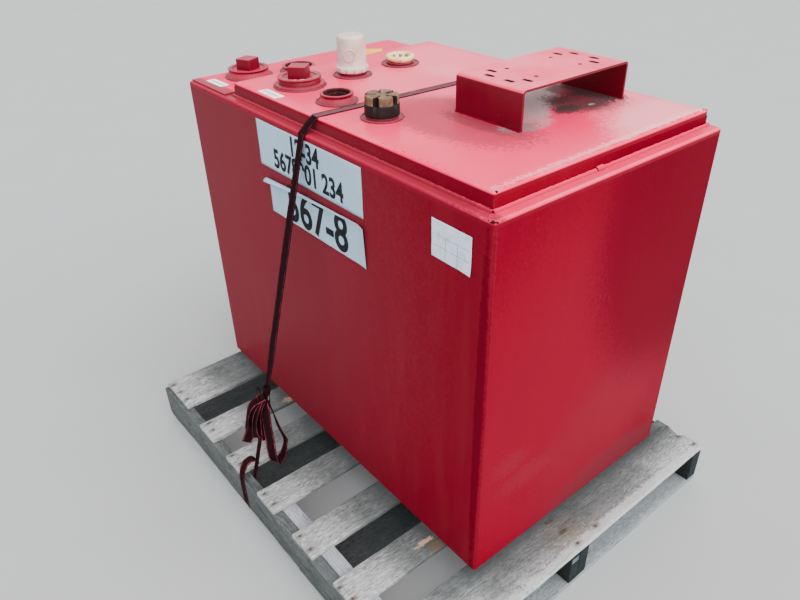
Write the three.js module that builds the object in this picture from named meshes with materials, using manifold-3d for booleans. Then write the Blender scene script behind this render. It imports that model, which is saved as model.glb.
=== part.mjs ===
// Double-wall rectangular steel oil tank standing on a timber pallet skid and tied down with
// one strap. Millimetres, +Z up, ground at z = 0, the long face with the signs towards -Y.
// The plan is drawn from the middle of the tank, and the whole is then shifted so that its
// origin is the middle of its footprint.
import * as THREE from 'three';
import { mergeVertices } from 'three/addons/utils/BufferGeometryUtils.js';
import Module from 'manifold-3d';

const wasm = await Module();
wasm.setup();

// Pallet
const palletLeft = -534.5;
const palletRight = 684.5;
const palletFront = -608;
const palletBack = 411;
const boardThickness = 13;
const stringerHeight = 95;
const stringerTop = boardThickness + stringerHeight;
const deckTop = stringerTop + boardThickness;
const deckBoards = [
  { left: palletLeft, right: -390, front: palletFront + 8 },
  { left: -293, right: -209 },
  { left: -130, right: -49 },
  { left: 39, right: 123 },
  { left: 211, right: 298 },
  { left: 384, right: 470 },
  { left: 544, right: palletRight },
];
const bottomBoards = [
  { left: palletLeft, right: -394 },
  { left: -148, right: -60 },
  { left: 225, right: 313 },
  { left: 544, right: palletRight },
];
const frontStringer = { front: -611, back: -582 };
const frontCompanion = { left: 62, front: -580.5, back: -543.5 };
const middleStringer = { front: -104, back: -73 };
const middleCompanion = { left: 148, front: -136, back: -105.5 };
const backStringer = { front: 374, back: palletBack };
const endSplit = { left: 578, tip: 617, right: 630, depth: 13 };

// Outer tank
const tankHalfLength = 567;
const tankHalfWidth = 343;
const outerHeight = 880;
const sheet = 3.5;
const cornerRadius = 7;
const rimRadius = 6;
const rimDepth = 12;
const outerTop = deckTop + outerHeight;
const wallTop = outerTop - rimDepth;

// Primary tank, which stands inside the outer one and shows above it as a step
const primary = { left: -359, right: 535, front: -314, back: 330 };
const primaryStep = 33;
const primaryCorner = 6;
const primaryRim = 5;
const primaryTop = outerTop + primaryStep;
const coverPlate = { left: -561, right: -376, halfWidth: 334, thickness: 4 };

// Fittings, each at the middle of its bore
const ledgeVent = { x: -487, y: -203, base: 62, rim: 54, bore: 44, height: 23 };
const ledgeOpen = { x: -440, y: -75, base: 50, rim: 45, bore: 36, height: 15 };
const fill = { x: -221, y: -207, base: 62, rim: 53, bore: 44, height: 24 };
const topOpen = { x: -54, y: -214, base: 47, rim: 38, bore: 30, height: 20 };
const ventCapSeat = { x: -211, y: -57, base: 47, rim: 38, bore: 28, height: 11 };
const protectorSeat = { x: -215, y: 101, base: 48, rim: 37, bore: 29, height: 8 };
const lobedSeat = { x: 105, y: -209, base: 45, rim: 36, bore: 26, height: 6 };
const flange = { rimThickness: 5, waist: 3, weldStep: 2 };
const spigotDepth = 8;
const spigotClearance = 0.5;
const plug = { recess: 4, head: 45, headHeight: 28, edge: 4 };
const ledgeVentTurn = 23;
const fillTurn = 43;
const cap = {
  height: 88, radius: 36, taper: 1, dome: 8, domeRise: 6.4, skirtRadius: 40.5, skirtHeight: 14,
};
const protector = { radius: 38, hole: 26, height: 15, floor: 3, lobes: 8, lobeDepth: 2 };
const lobedCap = { radius: 38, notch: 9, skirt: 25, height: 44, lobes: 5, turn: 10 };
const lobeSharpness = 4;

// Pump bracket, a bent inverted U
const bracket = { left: 180, right: 367, front: -68, back: 265, height: 82, sheet: 5, bend: 9 };
const boltPattern = { x: 272.5, y: 98, halfX: 40.5, halfY: 69.5, holeRadius: 5 };
const slotPattern = {
  length: 25,
  width: 9,
  rows: [{ halfX: 50, halfY: 105 }, { halfX: 27.5, halfY: 134 }],
};

// Signs, stuck flat to the front wall
const film = 0.8;
const upperSign = { left: -207, right: 207, low: 876, high: 988 };
const lowerSign = { left: -176, right: 211, low: 761, high: 866 };
const tag = { left: 417, right: 520, low: 881, high: 958 };

// Strap
const strapWidth = 25;
const strapThickness = 1.5;
const strapGap = 0.5;
const strapX = { frontFoot: -25, frontRim: -7, frontStep: 4, backStep: 40, backFoot: 52, backTuck: 22 };
const strapReturn = { x: -30, y: -588, z: 128 };
const backTuck = { y: 399, z: 205 };
const layerGap = 0.25;
const footDrop = 6;
const overStringer = { rise: 4, shoulderIn: 5, shoulderRise: 14, lead: 6, leadDrop: 2 };
const backLeanStart = 6;
const knot = { z: 360, width: 34, depth: 16, height: 30, corner: 5 };
const hank = { left: -118, right: 38, low: 134, thickness: 34, corner: 62, neck: 14 };

// Parts that only touch stand this far apart, joined ones run this far into each other, and
// the tools that cut a hole reach this far past the sheet on both sides
const seatGap = 0.4;
const bite = 1;
const drill = 30;

const originX = (-tankHalfLength + palletRight) / 2;
const strapReach = strapThickness + strapGap;
const originY = (frontStringer.front - strapReach + backStringer.back + strapReach) / 2;

const material = (color, roughness, metalness = 0) => (
  new THREE.MeshStandardMaterial({ color, roughness, metalness })
);
const materials = {
  redPaint: material(0xa3182c, 0.35, 0.1),
  blackSteel: material(0x4a4542, 0.6, 0.6),
  whitePlastic: material(0xd7cdc8, 0.5),
  creamPlastic: material(0xe1cda0, 0.5),
  blackPlastic: material(0x2b2926, 0.5),
  webbing: material(0x35151f, 0.9),
  timber: material(0xaaaaa5, 0.9),
  vinyl: material(0xbecdd2, 0.4),
  paper: material(0xe6e6e6, 0.8),
};

const assembly = new THREE.Group();
assembly.position.set(-originX, -originY, 0);

function add(name, geometry, finish) {
  const mesh = new THREE.Mesh(geometry, finish.clone());
  mesh.name = name;
  assembly.add(mesh);
}

// Joining and cutting
function toSolid(geometry) {
  const bare = geometry.clone();
  bare.deleteAttribute('normal');
  bare.deleteAttribute('uv');
  const merged = mergeVertices(bare, 1e-3);
  return new wasm.Manifold(new wasm.Mesh({
    numProp: 3,
    vertProperties: Float32Array.from(merged.attributes.position.array),
    triVerts: Uint32Array.from(merged.index.array),
  }));
}

function toGeometry(solid) {
  const mesh = solid.getMesh();
  const geometry = new THREE.BufferGeometry();
  geometry.setAttribute('position', new THREE.BufferAttribute(mesh.vertProperties, 3));
  geometry.setIndex(new THREE.BufferAttribute(mesh.triVerts, 1));
  geometry.computeVertexNormals();
  return geometry;
}

function cut(geometry, ...tools) {
  return toGeometry(tools.reduce((solid, tool) => solid.subtract(toSolid(tool)), toSolid(geometry)));
}

function join(geometry, ...others) {
  return toGeometry(others.reduce((solid, other) => solid.add(toSolid(other)), toSolid(geometry)));
}

// Basic shapes
function block(x, y, z) {
  const geometry = new THREE.BoxGeometry(x[1] - x[0], y[1] - y[0], z[1] - z[0]);
  return geometry.translate((x[0] + x[1]) / 2, (y[0] + y[1]) / 2, (z[0] + z[1]) / 2);
}

function disc(x, y, radius, z, sides = 32) {
  const geometry = new THREE.CylinderGeometry(radius, radius, z[1] - z[0], sides);
  return geometry.rotateX(Math.PI / 2).translate(x, y, (z[0] + z[1]) / 2);
}

// A turned piece; the profile is [radius, height] pairs, counter-clockwise with the axis at
// the left, and closes on itself or on the axis
function turned(profile, place, z, sides = 32) {
  const points = profile.map(([radius, height]) => new THREE.Vector2(radius, height));
  if (profile[0][0] > 0) {
    points.push(points[0].clone());
  }
  return new THREE.LatheGeometry(points, sides).rotateX(Math.PI / 2).translate(place.x, place.y, z);
}

function roundedOutline(x, y, radius) {
  const shape = new THREE.Shape();
  shape.moveTo(x[0] + radius, y[0]);
  shape.lineTo(x[1] - radius, y[0]);
  shape.absarc(x[1] - radius, y[0] + radius, radius, -Math.PI / 2, 0);
  shape.absarc(x[1] - radius, y[1] - radius, radius, 0, Math.PI / 2);
  shape.absarc(x[0] + radius, y[1] - radius, radius, Math.PI / 2, Math.PI);
  shape.absarc(x[0] + radius, y[0] + radius, radius, Math.PI, 1.5 * Math.PI);
  return shape;
}

function extruded(shape, z, curveSegments = 5) {
  const options = { depth: z[1] - z[0], bevelEnabled: false, curveSegments };
  return new THREE.ExtrudeGeometry(shape, options).translate(0, 0, z[0]);
}

// A section drawn as (y, z) and extruded is laid along X
function sideways(geometry) {
  return geometry.applyMatrix4(new THREE.Matrix4().makeBasis(
    new THREE.Vector3(0, 1, 0),
    new THREE.Vector3(0, 0, 1),
    new THREE.Vector3(1, 0, 0),
  ));
}

// A sheet lid whose edges are bent down all round with an outer radius
function bentLid(x, y, corner, bend, lip, top) {
  const blankDepth = 40;
  const shell = (inset, height) => {
    const outline = roundedOutline([x[0] + bend, x[1] - bend], [y[0] + bend, y[1] - bend], corner - bend);
    const radius = bend - inset;
    const geometry = new THREE.ExtrudeGeometry(outline, {
      depth: height,
      bevelEnabled: true,
      bevelSize: radius,
      bevelThickness: radius,
      bevelSegments: 3,
      curveSegments: 4,
    });
    return geometry.translate(0, 0, top - bend - height);
  };
  const around = ([low, high]) => [low - bite, high + bite];
  const below = block(around(x), around(y), [top - 3 * blankDepth, top - lip]);
  return cut(shell(0, blankDepth), shell(sheet, 2 * blankDepth), below);
}

// Pallet
function makePallet() {
  deckBoards.forEach(({ left, right, front = palletFront }, index) => {
    let geometry = block([left, right], [front, palletBack], [stringerTop, deckTop]);
    if (index === deckBoards.length - 1) {
      // A wedge has split out of the far end of the last board
      const wedge = new THREE.Shape([
        new THREE.Vector2(endSplit.left, palletBack + bite),
        new THREE.Vector2(endSplit.tip, palletBack - endSplit.depth),
        new THREE.Vector2(endSplit.right, palletBack + bite),
      ]);
      geometry = cut(geometry, extruded(wedge, [stringerTop - drill, deckTop + drill]));
    }
    add(`deck_board_${index + 1}`, geometry, materials.timber);
  });
  bottomBoards.forEach((board, index) => {
    const geometry = block([board.left, board.right], [palletFront, palletBack], [0, boardThickness]);
    add(`bottom_board_${index + 1}`, geometry, materials.timber);
  });
  const stringers = {
    stringer_front: frontStringer,
    stringer_front_companion: frontCompanion,
    stringer_middle: middleStringer,
    stringer_middle_companion: middleCompanion,
    stringer_back: backStringer,
  };
  for (const [name, { left = palletLeft, front, back }] of Object.entries(stringers)) {
    const geometry = block([left, palletRight], [front, back], [boardThickness, stringerTop]);
    add(name, geometry, materials.timber);
  }
}

// Outer tank
function makeOuterTank() {
  const x = tankHalfLength;
  const y = tankHalfWidth;
  const bottom = [deckTop, deckTop + sheet];
  const walls = [bottom[1], wallTop];
  const outline = roundedOutline([-x, x], [-y, y], cornerRadius);
  add('outer_bottom', extruded(outline, bottom), materials.redPaint);

  // Each long wall turns the corner at both ends, and the end walls stand between them
  const straight = x - cornerRadius;
  const longWall = (side) => {
    const wall = new THREE.Shape();
    const turn = side > 0 ? 1 : -1;
    const middle = side * (y - cornerRadius);
    wall.moveTo(-x, middle);
    wall.absarc(-straight, middle, cornerRadius, Math.PI, Math.PI - turn * Math.PI / 2, turn > 0);
    wall.absarc(straight, middle, cornerRadius, turn * Math.PI / 2, 0, turn > 0);
    wall.lineTo(x - sheet, middle);
    wall.absarc(straight, middle, cornerRadius - sheet, 0, turn * Math.PI / 2, turn < 0);
    wall.absarc(-straight, middle, cornerRadius - sheet, Math.PI - turn * Math.PI / 2, Math.PI, turn < 0);
    return extruded(wall, walls);
  };
  add('front_wall', longWall(-1), materials.redPaint);
  add('back_wall', longWall(1), materials.redPaint);
  const between = [-(y - cornerRadius), y - cornerRadius];
  add('left_end_wall', block([-x, -x + sheet], between, walls), materials.redPaint);
  add('right_end_wall', block([x - sheet, x], between, walls), materials.redPaint);

  // The lid is let in round the primary tank and bored under the ledge fittings
  const lid = bentLid([-x, x], [-y, y], cornerRadius, rimRadius, rimDepth, outerTop);
  const through = [outerTop - drill, outerTop + drill];
  const well = block(
    [primary.left - seatGap, primary.right + seatGap],
    [primary.front - seatGap, primary.back + seatGap],
    through,
  );
  const bores = [ledgeVent, ledgeOpen].map((seat) => disc(seat.x, seat.y, seat.bore, through));
  add('outer_lid', cut(lid, well, ...bores), materials.redPaint);

  // The doubling plate on the ledge clears both fittings
  const plate = block(
    [coverPlate.left, coverPlate.right],
    [-coverPlate.halfWidth, coverPlate.halfWidth],
    [outerTop, outerTop + coverPlate.thickness],
  );
  add('ledge_cover_plate', cut(plate, ...bores), materials.redPaint);
}

// Primary tank
function makePrimaryTank() {
  const { left, right, front, back } = primary;
  const floor = [deckTop + sheet, deckTop + 2 * sheet];
  const walls = [floor[1], primaryTop - rimDepth];
  add('primary_floor', block([left, right], [front, back], floor), materials.blackSteel);
  add('primary_front_wall', block([left, right], [front, front + sheet], walls), materials.redPaint);
  add('primary_back_wall', block([left, right], [back - sheet, back], walls), materials.redPaint);
  const between = [front + sheet, back - sheet];
  add('primary_left_wall', block([left, left + sheet], between, walls), materials.redPaint);
  add('primary_right_wall', block([right - sheet, right], between, walls), materials.redPaint);
  const lid = bentLid([left, right], [front, back], primaryCorner, primaryRim, rimDepth, primaryTop);
  const seats = [fill, topOpen, ventCapSeat, protectorSeat, lobedSeat];
  const through = [primaryTop - drill, primaryTop + drill];
  const bores = seats.map((seat) => disc(seat.x, seat.y, seat.bore, through));
  add('primary_top', cut(lid, ...bores), materials.redPaint);
}

// Fittings. A weld flange flares out to the sheet and has a thin rim that overhangs its waist.
function weldFlange(seat, z) {
  const rimLow = seat.height - flange.rimThickness;
  return turned([
    [seat.bore, 0],
    [seat.base, 0],
    [seat.base - flange.weldStep / 2, flange.weldStep],
    [seat.rim - flange.waist, rimLow - 1],
    [seat.rim, rimLow],
    [seat.rim, seat.height],
    [seat.bore, seat.height],
  ], seat, z);
}

// The round part that goes down into a flange's bore and through the sheet, under z = 0
function spigot(seat, top) {
  const low = -seat.height - spigotDepth;
  return disc(0, 0, seat.bore - spigotClearance, [low, top]);
}

function squareHeadPlug(seat, z, turnDegrees) {
  const half = plug.head / 2;
  const outline = roundedOutline([-half, half], [-half, half], plug.edge);
  const head = extruded(outline, [-plug.recess - bite, plug.headHeight - plug.recess], 2);
  const turn = THREE.MathUtils.degToRad(turnDegrees);
  return join(spigot(seat, -plug.recess), head.rotateZ(turn)).translate(seat.x, seat.y, z + seat.height);
}

function ventCap(seat, z) {
  const shoulder = cap.height - cap.dome;
  const topRadius = cap.radius - cap.taper;
  const profile = [
    [0, 0],
    [cap.skirtRadius, 0],
    [cap.skirtRadius, cap.skirtHeight],
    [cap.radius, cap.skirtHeight + cap.skirtRadius - cap.radius],
    [topRadius, shoulder],
  ];
  const domeSteps = 4;
  for (let step = 1; step <= domeSteps; step += 1) {
    const angle = (step / domeSteps) * (Math.PI / 2);
    profile.push([topRadius - cap.dome * (1 - Math.cos(angle)), shoulder + cap.domeRise * Math.sin(angle)]);
  }
  profile.push([0, cap.height]);
  const body = turned(profile, { x: 0, y: 0 }, 0);
  return join(body, spigot(seat, bite)).translate(seat.x, seat.y, z + seat.height);
}

// A round cap outline with shallow lobes
function lobedOutline(radius, depth, lobes, steps) {
  const shape = new THREE.Shape();
  for (let step = 0; step < steps; step += 1) {
    const angle = (step / steps) * 2 * Math.PI;
    const wave = Math.max(0, Math.cos(lobes * angle)) ** lobeSharpness;
    const reach = radius - depth * wave;
    const point = [reach * Math.cos(angle), reach * Math.sin(angle)];
    if (step === 0) {
      shape.moveTo(...point);
    } else {
      shape.lineTo(...point);
    }
  }
  shape.closePath();
  return shape;
}

function threadProtector(seat, z) {
  const { radius, hole, height, floor, lobes, lobeDepth } = protector;
  const ring = extruded(lobedOutline(radius, lobeDepth, lobes, 48), [0, height]);
  const cup = disc(0, 0, hole, [floor, height + bite]);
  return join(cut(ring, cup), spigot(seat, bite)).translate(seat.x, seat.y, z + seat.height);
}

function makeLobedCap(seat, z) {
  const { radius, notch, skirt, height, lobes, turn } = lobedCap;
  const crown = extruded(lobedOutline(radius, notch, lobes, 60), [skirt - bite, height]);
  const whole = join(disc(0, 0, radius, [0, skirt]), crown, spigot(seat, bite));
  return whole.rotateZ(THREE.MathUtils.degToRad(turn)).translate(seat.x, seat.y, z + seat.height);
}

function makeFittings() {
  const ledgeTop = outerTop + coverPlate.thickness;
  const { redPaint, blackSteel, whitePlastic, creamPlastic, blackPlastic } = materials;
  add('ledge_vent_flange', weldFlange(ledgeVent, ledgeTop), redPaint);
  add('ledge_vent_plug', squareHeadPlug(ledgeVent, ledgeTop, ledgeVentTurn), redPaint);
  add('ledge_open_flange', weldFlange(ledgeOpen, ledgeTop), redPaint);
  add('fill_flange', weldFlange(fill, primaryTop), redPaint);
  add('fill_plug', squareHeadPlug(fill, primaryTop, fillTurn), redPaint);
  add('open_flange', weldFlange(topOpen, primaryTop), blackSteel);
  add('vent_cap_flange', weldFlange(ventCapSeat, primaryTop), redPaint);
  add('vent_cap', ventCap(ventCapSeat, primaryTop), whitePlastic);
  add('protector_flange', weldFlange(protectorSeat, primaryTop), redPaint);
  add('thread_protector', threadProtector(protectorSeat, primaryTop), creamPlastic);
  add('lobed_cap_flange', weldFlange(lobedSeat, primaryTop), redPaint);
  add('lobed_cap', makeLobedCap(lobedSeat, primaryTop), blackPlastic);
}

// Pump bracket
function makeBracket() {
  const { left, right, front, back, height, bend } = bracket;
  const inner = bend - bracket.sheet;
  const section = new THREE.Shape();
  section.moveTo(front, 0);
  section.lineTo(front + bracket.sheet, 0);
  section.lineTo(front + bracket.sheet, height - bend);
  section.absarc(front + bend, height - bend, inner, Math.PI, Math.PI / 2, true);
  section.lineTo(back - bend, height - bracket.sheet);
  section.absarc(back - bend, height - bend, inner, Math.PI / 2, 0, true);
  section.lineTo(back - bracket.sheet, 0);
  section.lineTo(back, 0);
  section.lineTo(back, height - bend);
  section.absarc(back - bend, height - bend, bend, 0, Math.PI / 2);
  section.lineTo(front + bend, height);
  section.absarc(front + bend, height - bend, bend, Math.PI / 2, Math.PI);
  const sweep = { depth: right - left, bevelEnabled: false, curveSegments: 4 };
  const bent = sideways(new THREE.ExtrudeGeometry(section, sweep)).translate(left, 0, primaryTop);

  const through = [primaryTop + height - drill, primaryTop + height + drill];
  const holes = [];
  for (const sideX of [-1, 1]) {
    for (const sideY of [-1, 1]) {
      const x = boltPattern.x + sideX * boltPattern.halfX;
      const y = boltPattern.y + sideY * boltPattern.halfY;
      holes.push(disc(x, y, boltPattern.holeRadius, through, 16));
    }
  }
  const halfSlot = [slotPattern.length / 2, slotPattern.width / 2];
  const slot = roundedOutline([-halfSlot[0], halfSlot[0]], [-halfSlot[1], halfSlot[1]], halfSlot[1]);
  for (const { halfX, halfY } of slotPattern.rows) {
    for (const [sideX, sideY] of [[-1, -1], [1, -1], [-1, 1], [1, 1]]) {
      const x = boltPattern.x + sideX * halfX;
      const y = boltPattern.y + sideY * halfY;
      holes.push(extruded(slot, through, 4).translate(x, y, 0));
    }
  }
  add('pump_bracket', cut(bent, ...holes), materials.redPaint);
}

// Signs
function makeSigns() {
  const outside = -tankHalfWidth - seatGap;
  const panel = ({ left, right, low, high }) => block([left, right], [outside - film, outside], [low, high]);
  add('upper_sign', panel(upperSign), materials.vinyl);
  add('lower_sign', panel(lowerSign), materials.vinyl);
  add('paper_tag', panel(tag), materials.paper);
}

// Strap. A band is drawn side-on as the line of its inner face, [y, z, middle x], thickened
// to the left of its direction of travel, and then given its width along X.
function band(line) {
  const inner = line.map(([y, z]) => new THREE.Vector2(y, z));
  const outer = inner.map((point, index) => {
    const before = inner[Math.max(index - 1, 0)];
    const after = inner[Math.min(index + 1, inner.length - 1)];
    const along = after.clone().sub(before).normalize();
    return point.clone().addScaledVector(new THREE.Vector2(-along.y, along.x), strapThickness);
  });
  const shape = new THREE.Shape([...inner, ...outer.slice().reverse()]);
  const geometry = sideways(new THREE.ExtrudeGeometry(shape, { depth: strapWidth, bevelEnabled: false }));
  const position = geometry.attributes.position;
  for (let index = 0; index < position.count; index += 1) {
    const here = new THREE.Vector2(position.getY(index), position.getZ(index));
    const away = inner.map((point, place) => Math.min(point.distanceTo(here), outer[place].distanceTo(here)));
    const nearest = away.indexOf(Math.min(...away));
    position.setX(index, position.getX(index) + line[nearest][2] - strapWidth / 2);
  }
  return geometry;
}

// The inner face of a strap pulled tight over round corners: each corner is { y, z, radius, x },
// and a corner of no radius is a point that the strap runs through
function tautLine(corners, steps = 4) {
  const leaving = (from, to) => {
    const run = Math.atan2(to.z - from.z, to.y - from.y);
    return run + Math.acos((from.radius - to.radius) / Math.hypot(to.y - from.y, to.z - from.z));
  };
  const line = [];
  corners.forEach((corner, index) => {
    if (corner.radius === 0) {
      line.push([corner.y, corner.z, corner.x]);
      return;
    }
    const from = leaving(corners[index - 1], corner);
    const to = leaving(corner, corners[index + 1]);
    for (let step = 0; step <= steps; step += 1) {
      const angle = from + ((to - from) * step) / steps;
      const y = corner.y + corner.radius * Math.cos(angle);
      line.push([y, corner.z + corner.radius * Math.sin(angle), corner.x]);
    }
  });
  return line;
}

function pointBetween(from, to, z) {
  const share = (z - from.z) / (to.z - from.z);
  return {
    y: from.y + share * (to.y - from.y),
    z,
    x: from.x + share * (to.x - from.x),
    radius: 0,
  };
}

function makeStrap() {
  const rimRound = rimRadius + strapGap;
  const stepRound = primaryRim + strapGap;
  const rimZ = outerTop - rimRadius;
  const stepZ = primaryTop - primaryRim;
  const footY = frontStringer.back + strapGap + strapThickness + layerGap;
  const frontFoot = { y: footY, z: stringerTop - footDrop, radius: 0, x: strapX.frontFoot };
  const frontRim = { y: -tankHalfWidth + rimRadius, z: rimZ, radius: rimRound, x: strapX.frontRim };
  const frontStep = { y: primary.front + primaryRim, z: stepZ, radius: stepRound, x: strapX.frontStep };
  const backStep = { y: primary.back - primaryRim, z: stepZ, radius: stepRound, x: strapX.backStep };
  const backRim = { y: tankHalfWidth - rimRadius, z: rimZ, radius: rimRound, x: strapX.backStep };
  const backFoot = { y: palletBack + 2 * strapGap, z: deckTop, radius: 0, x: strapX.backFoot };
  const whole = tautLine([frontFoot, frontRim, frontStep, backStep, backRim, backFoot]);

  // The strap is cut at both outer rims, just below the bend
  const perCorner = 5;
  const frontDown = whole.slice(0, 2);
  const overTop = whole.slice(1, 1 + perCorner * 4);
  const backDown = whole.slice(perCorner * 4);
  const shorten = (line, first, last) => {
    const toward = (from, to) => {
      const length = Math.hypot(to[0] - from[0], to[1] - from[1]);
      return from.map((value, axis) => value + ((to[axis] - value) * strapGap) / length);
    };
    const cutLine = line.slice();
    if (first) {
      cutLine[0] = toward(line[0], line[1]);
    }
    if (last) {
      cutLine[cutLine.length - 1] = toward(line.at(-1), line.at(-2));
    }
    return cutLine;
  };
  add('strap_top', band(overTop), materials.webbing);
  add('strap_front', band(shorten(frontDown, false, true)), materials.webbing);
  add('strap_back', band(shorten(backDown, true, false)), materials.webbing);

  // Round the front stringer, up its outer face and back over its top
  const below = boardThickness - strapGap;
  const outside = frontStringer.front - strapGap;
  const inside = frontStringer.back + strapGap;
  const frontLoop = [
    [inside, stringerTop - footDrop - 2 * strapGap, strapX.frontFoot],
    [inside, below + strapGap, strapX.frontFoot],
    [inside - strapGap, below, strapX.frontFoot],
    [outside + strapGap, below, strapReturn.x],
    [outside, below + strapGap, strapReturn.x],
    [outside, stringerTop + overStringer.rise, strapReturn.x],
    [outside + overStringer.shoulderIn, stringerTop + overStringer.shoulderRise, strapReturn.x],
    [strapReturn.y - overStringer.lead, strapReturn.z - overStringer.leadDrop, strapReturn.x],
    [strapReturn.y, strapReturn.z, strapReturn.x],
  ];
  add('strap_front_loop', band(frontLoop), materials.webbing);

  // Down the end of the deck board, round the back stringer and up between two boards
  const backOutside = palletBack + strapGap;
  const backInside = backStringer.front - strapGap;
  const backLoop = [
    [backTuck.y, backTuck.z, strapX.backTuck],
    [backInside, deckTop + backLeanStart, strapX.backTuck],
    [backInside, below + strapGap, strapX.backTuck],
    [backInside + strapGap, below, strapX.backTuck],
    [backOutside - strapGap, below, strapX.backFoot],
    [backOutside, below + strapGap, strapX.backFoot],
    [backOutside, deckTop - 2 * strapGap, strapX.backFoot],
  ];
  add('strap_back_loop', band(backLoop.reverse()), materials.webbing);

  // The knot and the hank of spare webbing lie against the tank side of the taut strap
  const slope = (frontRim.y - frontFoot.y) / (frontRim.z - frontFoot.z);
  const behind = frontFoot.y + seatGap;
  const leanOf = (geometry) => geometry.applyMatrix4(new THREE.Matrix4().set(
    1, 0, 0, 0,
    0, 1, slope, behind - slope * frontFoot.z,
    0, 0, 1, 0,
    0, 0, 0, 1,
  ));
  const knotX = pointBetween(frontFoot, frontRim, knot.z).x;
  const knotBlock = extruded(
    roundedOutline([knotX - knot.width / 2, knotX + knot.width / 2], [0, knot.depth], knot.corner),
    [knot.z, knot.z + knot.height],
    3,
  );
  add('strap_knot', leanOf(knotBlock), materials.webbing);

  const loops = new THREE.Shape();
  const { left, right, low, corner, neck } = hank;
  const high = knot.z - strapGap;
  loops.moveTo(knotX - neck, high);
  loops.quadraticCurveTo(left, high - corner, left, low + corner);
  loops.quadraticCurveTo(left, low, left + corner, low);
  loops.lineTo(right - corner, low);
  loops.quadraticCurveTo(right, low, right, low + corner);
  loops.quadraticCurveTo(right, high - corner, knotX + neck, high);
  loops.closePath();
  const depth = hank.thickness;
  const slab = new THREE.ExtrudeGeometry(loops, { depth, bevelEnabled: false, curveSegments: 5 });
  slab.rotateX(Math.PI / 2).translate(0, depth, 0);
  add('strap_hank', leanOf(slab), materials.webbing);
}

makePallet();
makeOuterTank();
makePrimaryTank();
makeFittings();
makeBracket();
makeSigns();
makeStrap();

export default assembly;
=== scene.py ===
import math
import bmesh
import bpy
from mathutils import Matrix, Vector, noise


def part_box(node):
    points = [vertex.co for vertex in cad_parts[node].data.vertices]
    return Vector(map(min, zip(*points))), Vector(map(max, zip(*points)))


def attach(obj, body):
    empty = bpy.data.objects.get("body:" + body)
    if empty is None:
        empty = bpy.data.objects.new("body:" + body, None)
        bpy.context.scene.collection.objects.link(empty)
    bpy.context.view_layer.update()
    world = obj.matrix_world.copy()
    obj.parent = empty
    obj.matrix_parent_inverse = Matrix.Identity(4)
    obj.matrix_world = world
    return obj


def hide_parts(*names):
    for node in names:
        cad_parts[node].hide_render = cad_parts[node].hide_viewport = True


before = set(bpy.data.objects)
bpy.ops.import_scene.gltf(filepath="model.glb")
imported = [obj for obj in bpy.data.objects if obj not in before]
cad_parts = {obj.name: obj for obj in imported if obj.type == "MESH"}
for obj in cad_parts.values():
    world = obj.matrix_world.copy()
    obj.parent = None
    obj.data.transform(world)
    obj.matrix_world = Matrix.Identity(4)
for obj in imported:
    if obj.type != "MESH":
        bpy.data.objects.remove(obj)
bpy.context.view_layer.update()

mm = 0.001
tankLow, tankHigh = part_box("outer_bottom")
tankMiddle = (tankLow + tankHigh) / 2
deckTop, ledgeTop, primaryTop = 121, 1005, 1034
tank = {"halfLength": 567, "halfWidth": 343}
primary = {"left": -359, "right": 535, "front": -314, "back": 330}


# A place in millimetres, from the tank's middle and up from the ground
def at(x, y, z):
    return Vector((tankMiddle.x + x * mm, tankMiddle.y + y * mm, z * mm))


def addObject(name, data):
    made = bpy.data.objects.new(name, data)
    bpy.context.scene.collection.objects.link(made)
    return made


# Camera
view = {
    "place": (1.20083, -0.99005, 1.50426),
    "turn": (57.35226, 1.12354, 50.80967),
    "lens": 31.4512,
}
camera = addObject("camera", bpy.data.cameras.new("camera"))
camera.data.lens = view["lens"]
camera.data.sensor_width = 36
camera.data.clip_start = 0.02
camera.location = view["place"]
camera.rotation_euler = [math.radians(angle) for angle in view["turn"]]
bpy.context.scene.camera = camera


# Shader building: a function adds its node to the tree of the sockets that it is given
def fill(inputs, values):
    for key, value in values.items():
        if isinstance(value, bpy.types.NodeSocket):
            value.id_data.links.new(value, inputs[key])
        else:
            inputs[key].default_value = value


def addNode(tree, kind, values=None, output=0, **settings):
    made = tree.nodes.new(kind)
    for key, value in settings.items():
        setattr(made, key, value)
    fill(made.inputs, values or {})
    return made.outputs[output]


def treeOf(*values):
    return next(value.id_data for value in values if isinstance(value, bpy.types.NodeSocket))


def calc(operation, first, *others):
    for other in others or (0.0,):
        first = addNode(treeOf(first, other), "ShaderNodeMath", {0: first, 1: other}, operation=operation)
    return first


def plus(*values):
    return calc("ADD", *values)


def minus(first, second):
    return calc("SUBTRACT", first, second)


def times(*values):
    return calc("MULTIPLY", *values)


def vectorCalc(operation, first, second=(0, 0, 0), output=0):
    return addNode(treeOf(first), "ShaderNodeVectorMath", {0: first, 1: second}, output, operation=operation)


def mix(share, first, second):
    return addNode(treeOf(share, first), "ShaderNodeMix", {0: share, 6: first, 7: second}, 2, data_type="RGBA")


# A smooth step from 0 to 1 as a value goes from low to high
def rise(value, low, high):
    return addNode(value.id_data, "ShaderNodeMapRange", {0: value, 1: low, 2: high},
                   interpolation_type="SMOOTHSTEP")


def stretched(vector, *scale):
    return addNode(vector.id_data, "ShaderNodeMapping", {"Vector": vector, "Scale": scale})


def grainOf(vector, scale, detail=3.0, rough=0.5):
    return addNode(vector.id_data, "ShaderNodeTexNoise", {
        "Vector": vector, "Scale": scale, "Detail": detail, "Roughness": rough})


def partOf(vector, axis):
    return addNode(vector.id_data, "ShaderNodeSeparateXYZ", {0: vector}, axis)


# How much the surface faces up
def facingUp(tree):
    return partOf(addNode(tree, "ShaderNodeNewGeometry", output="Normal"), "Z")


def sheetPlace(tree):
    place = addNode(tree, "ShaderNodeUVMap", uv_map="UVMap")
    return partOf(place, "X"), partOf(place, "Y")


def rgb(*parts):
    return (*parts, 1.0)


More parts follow.
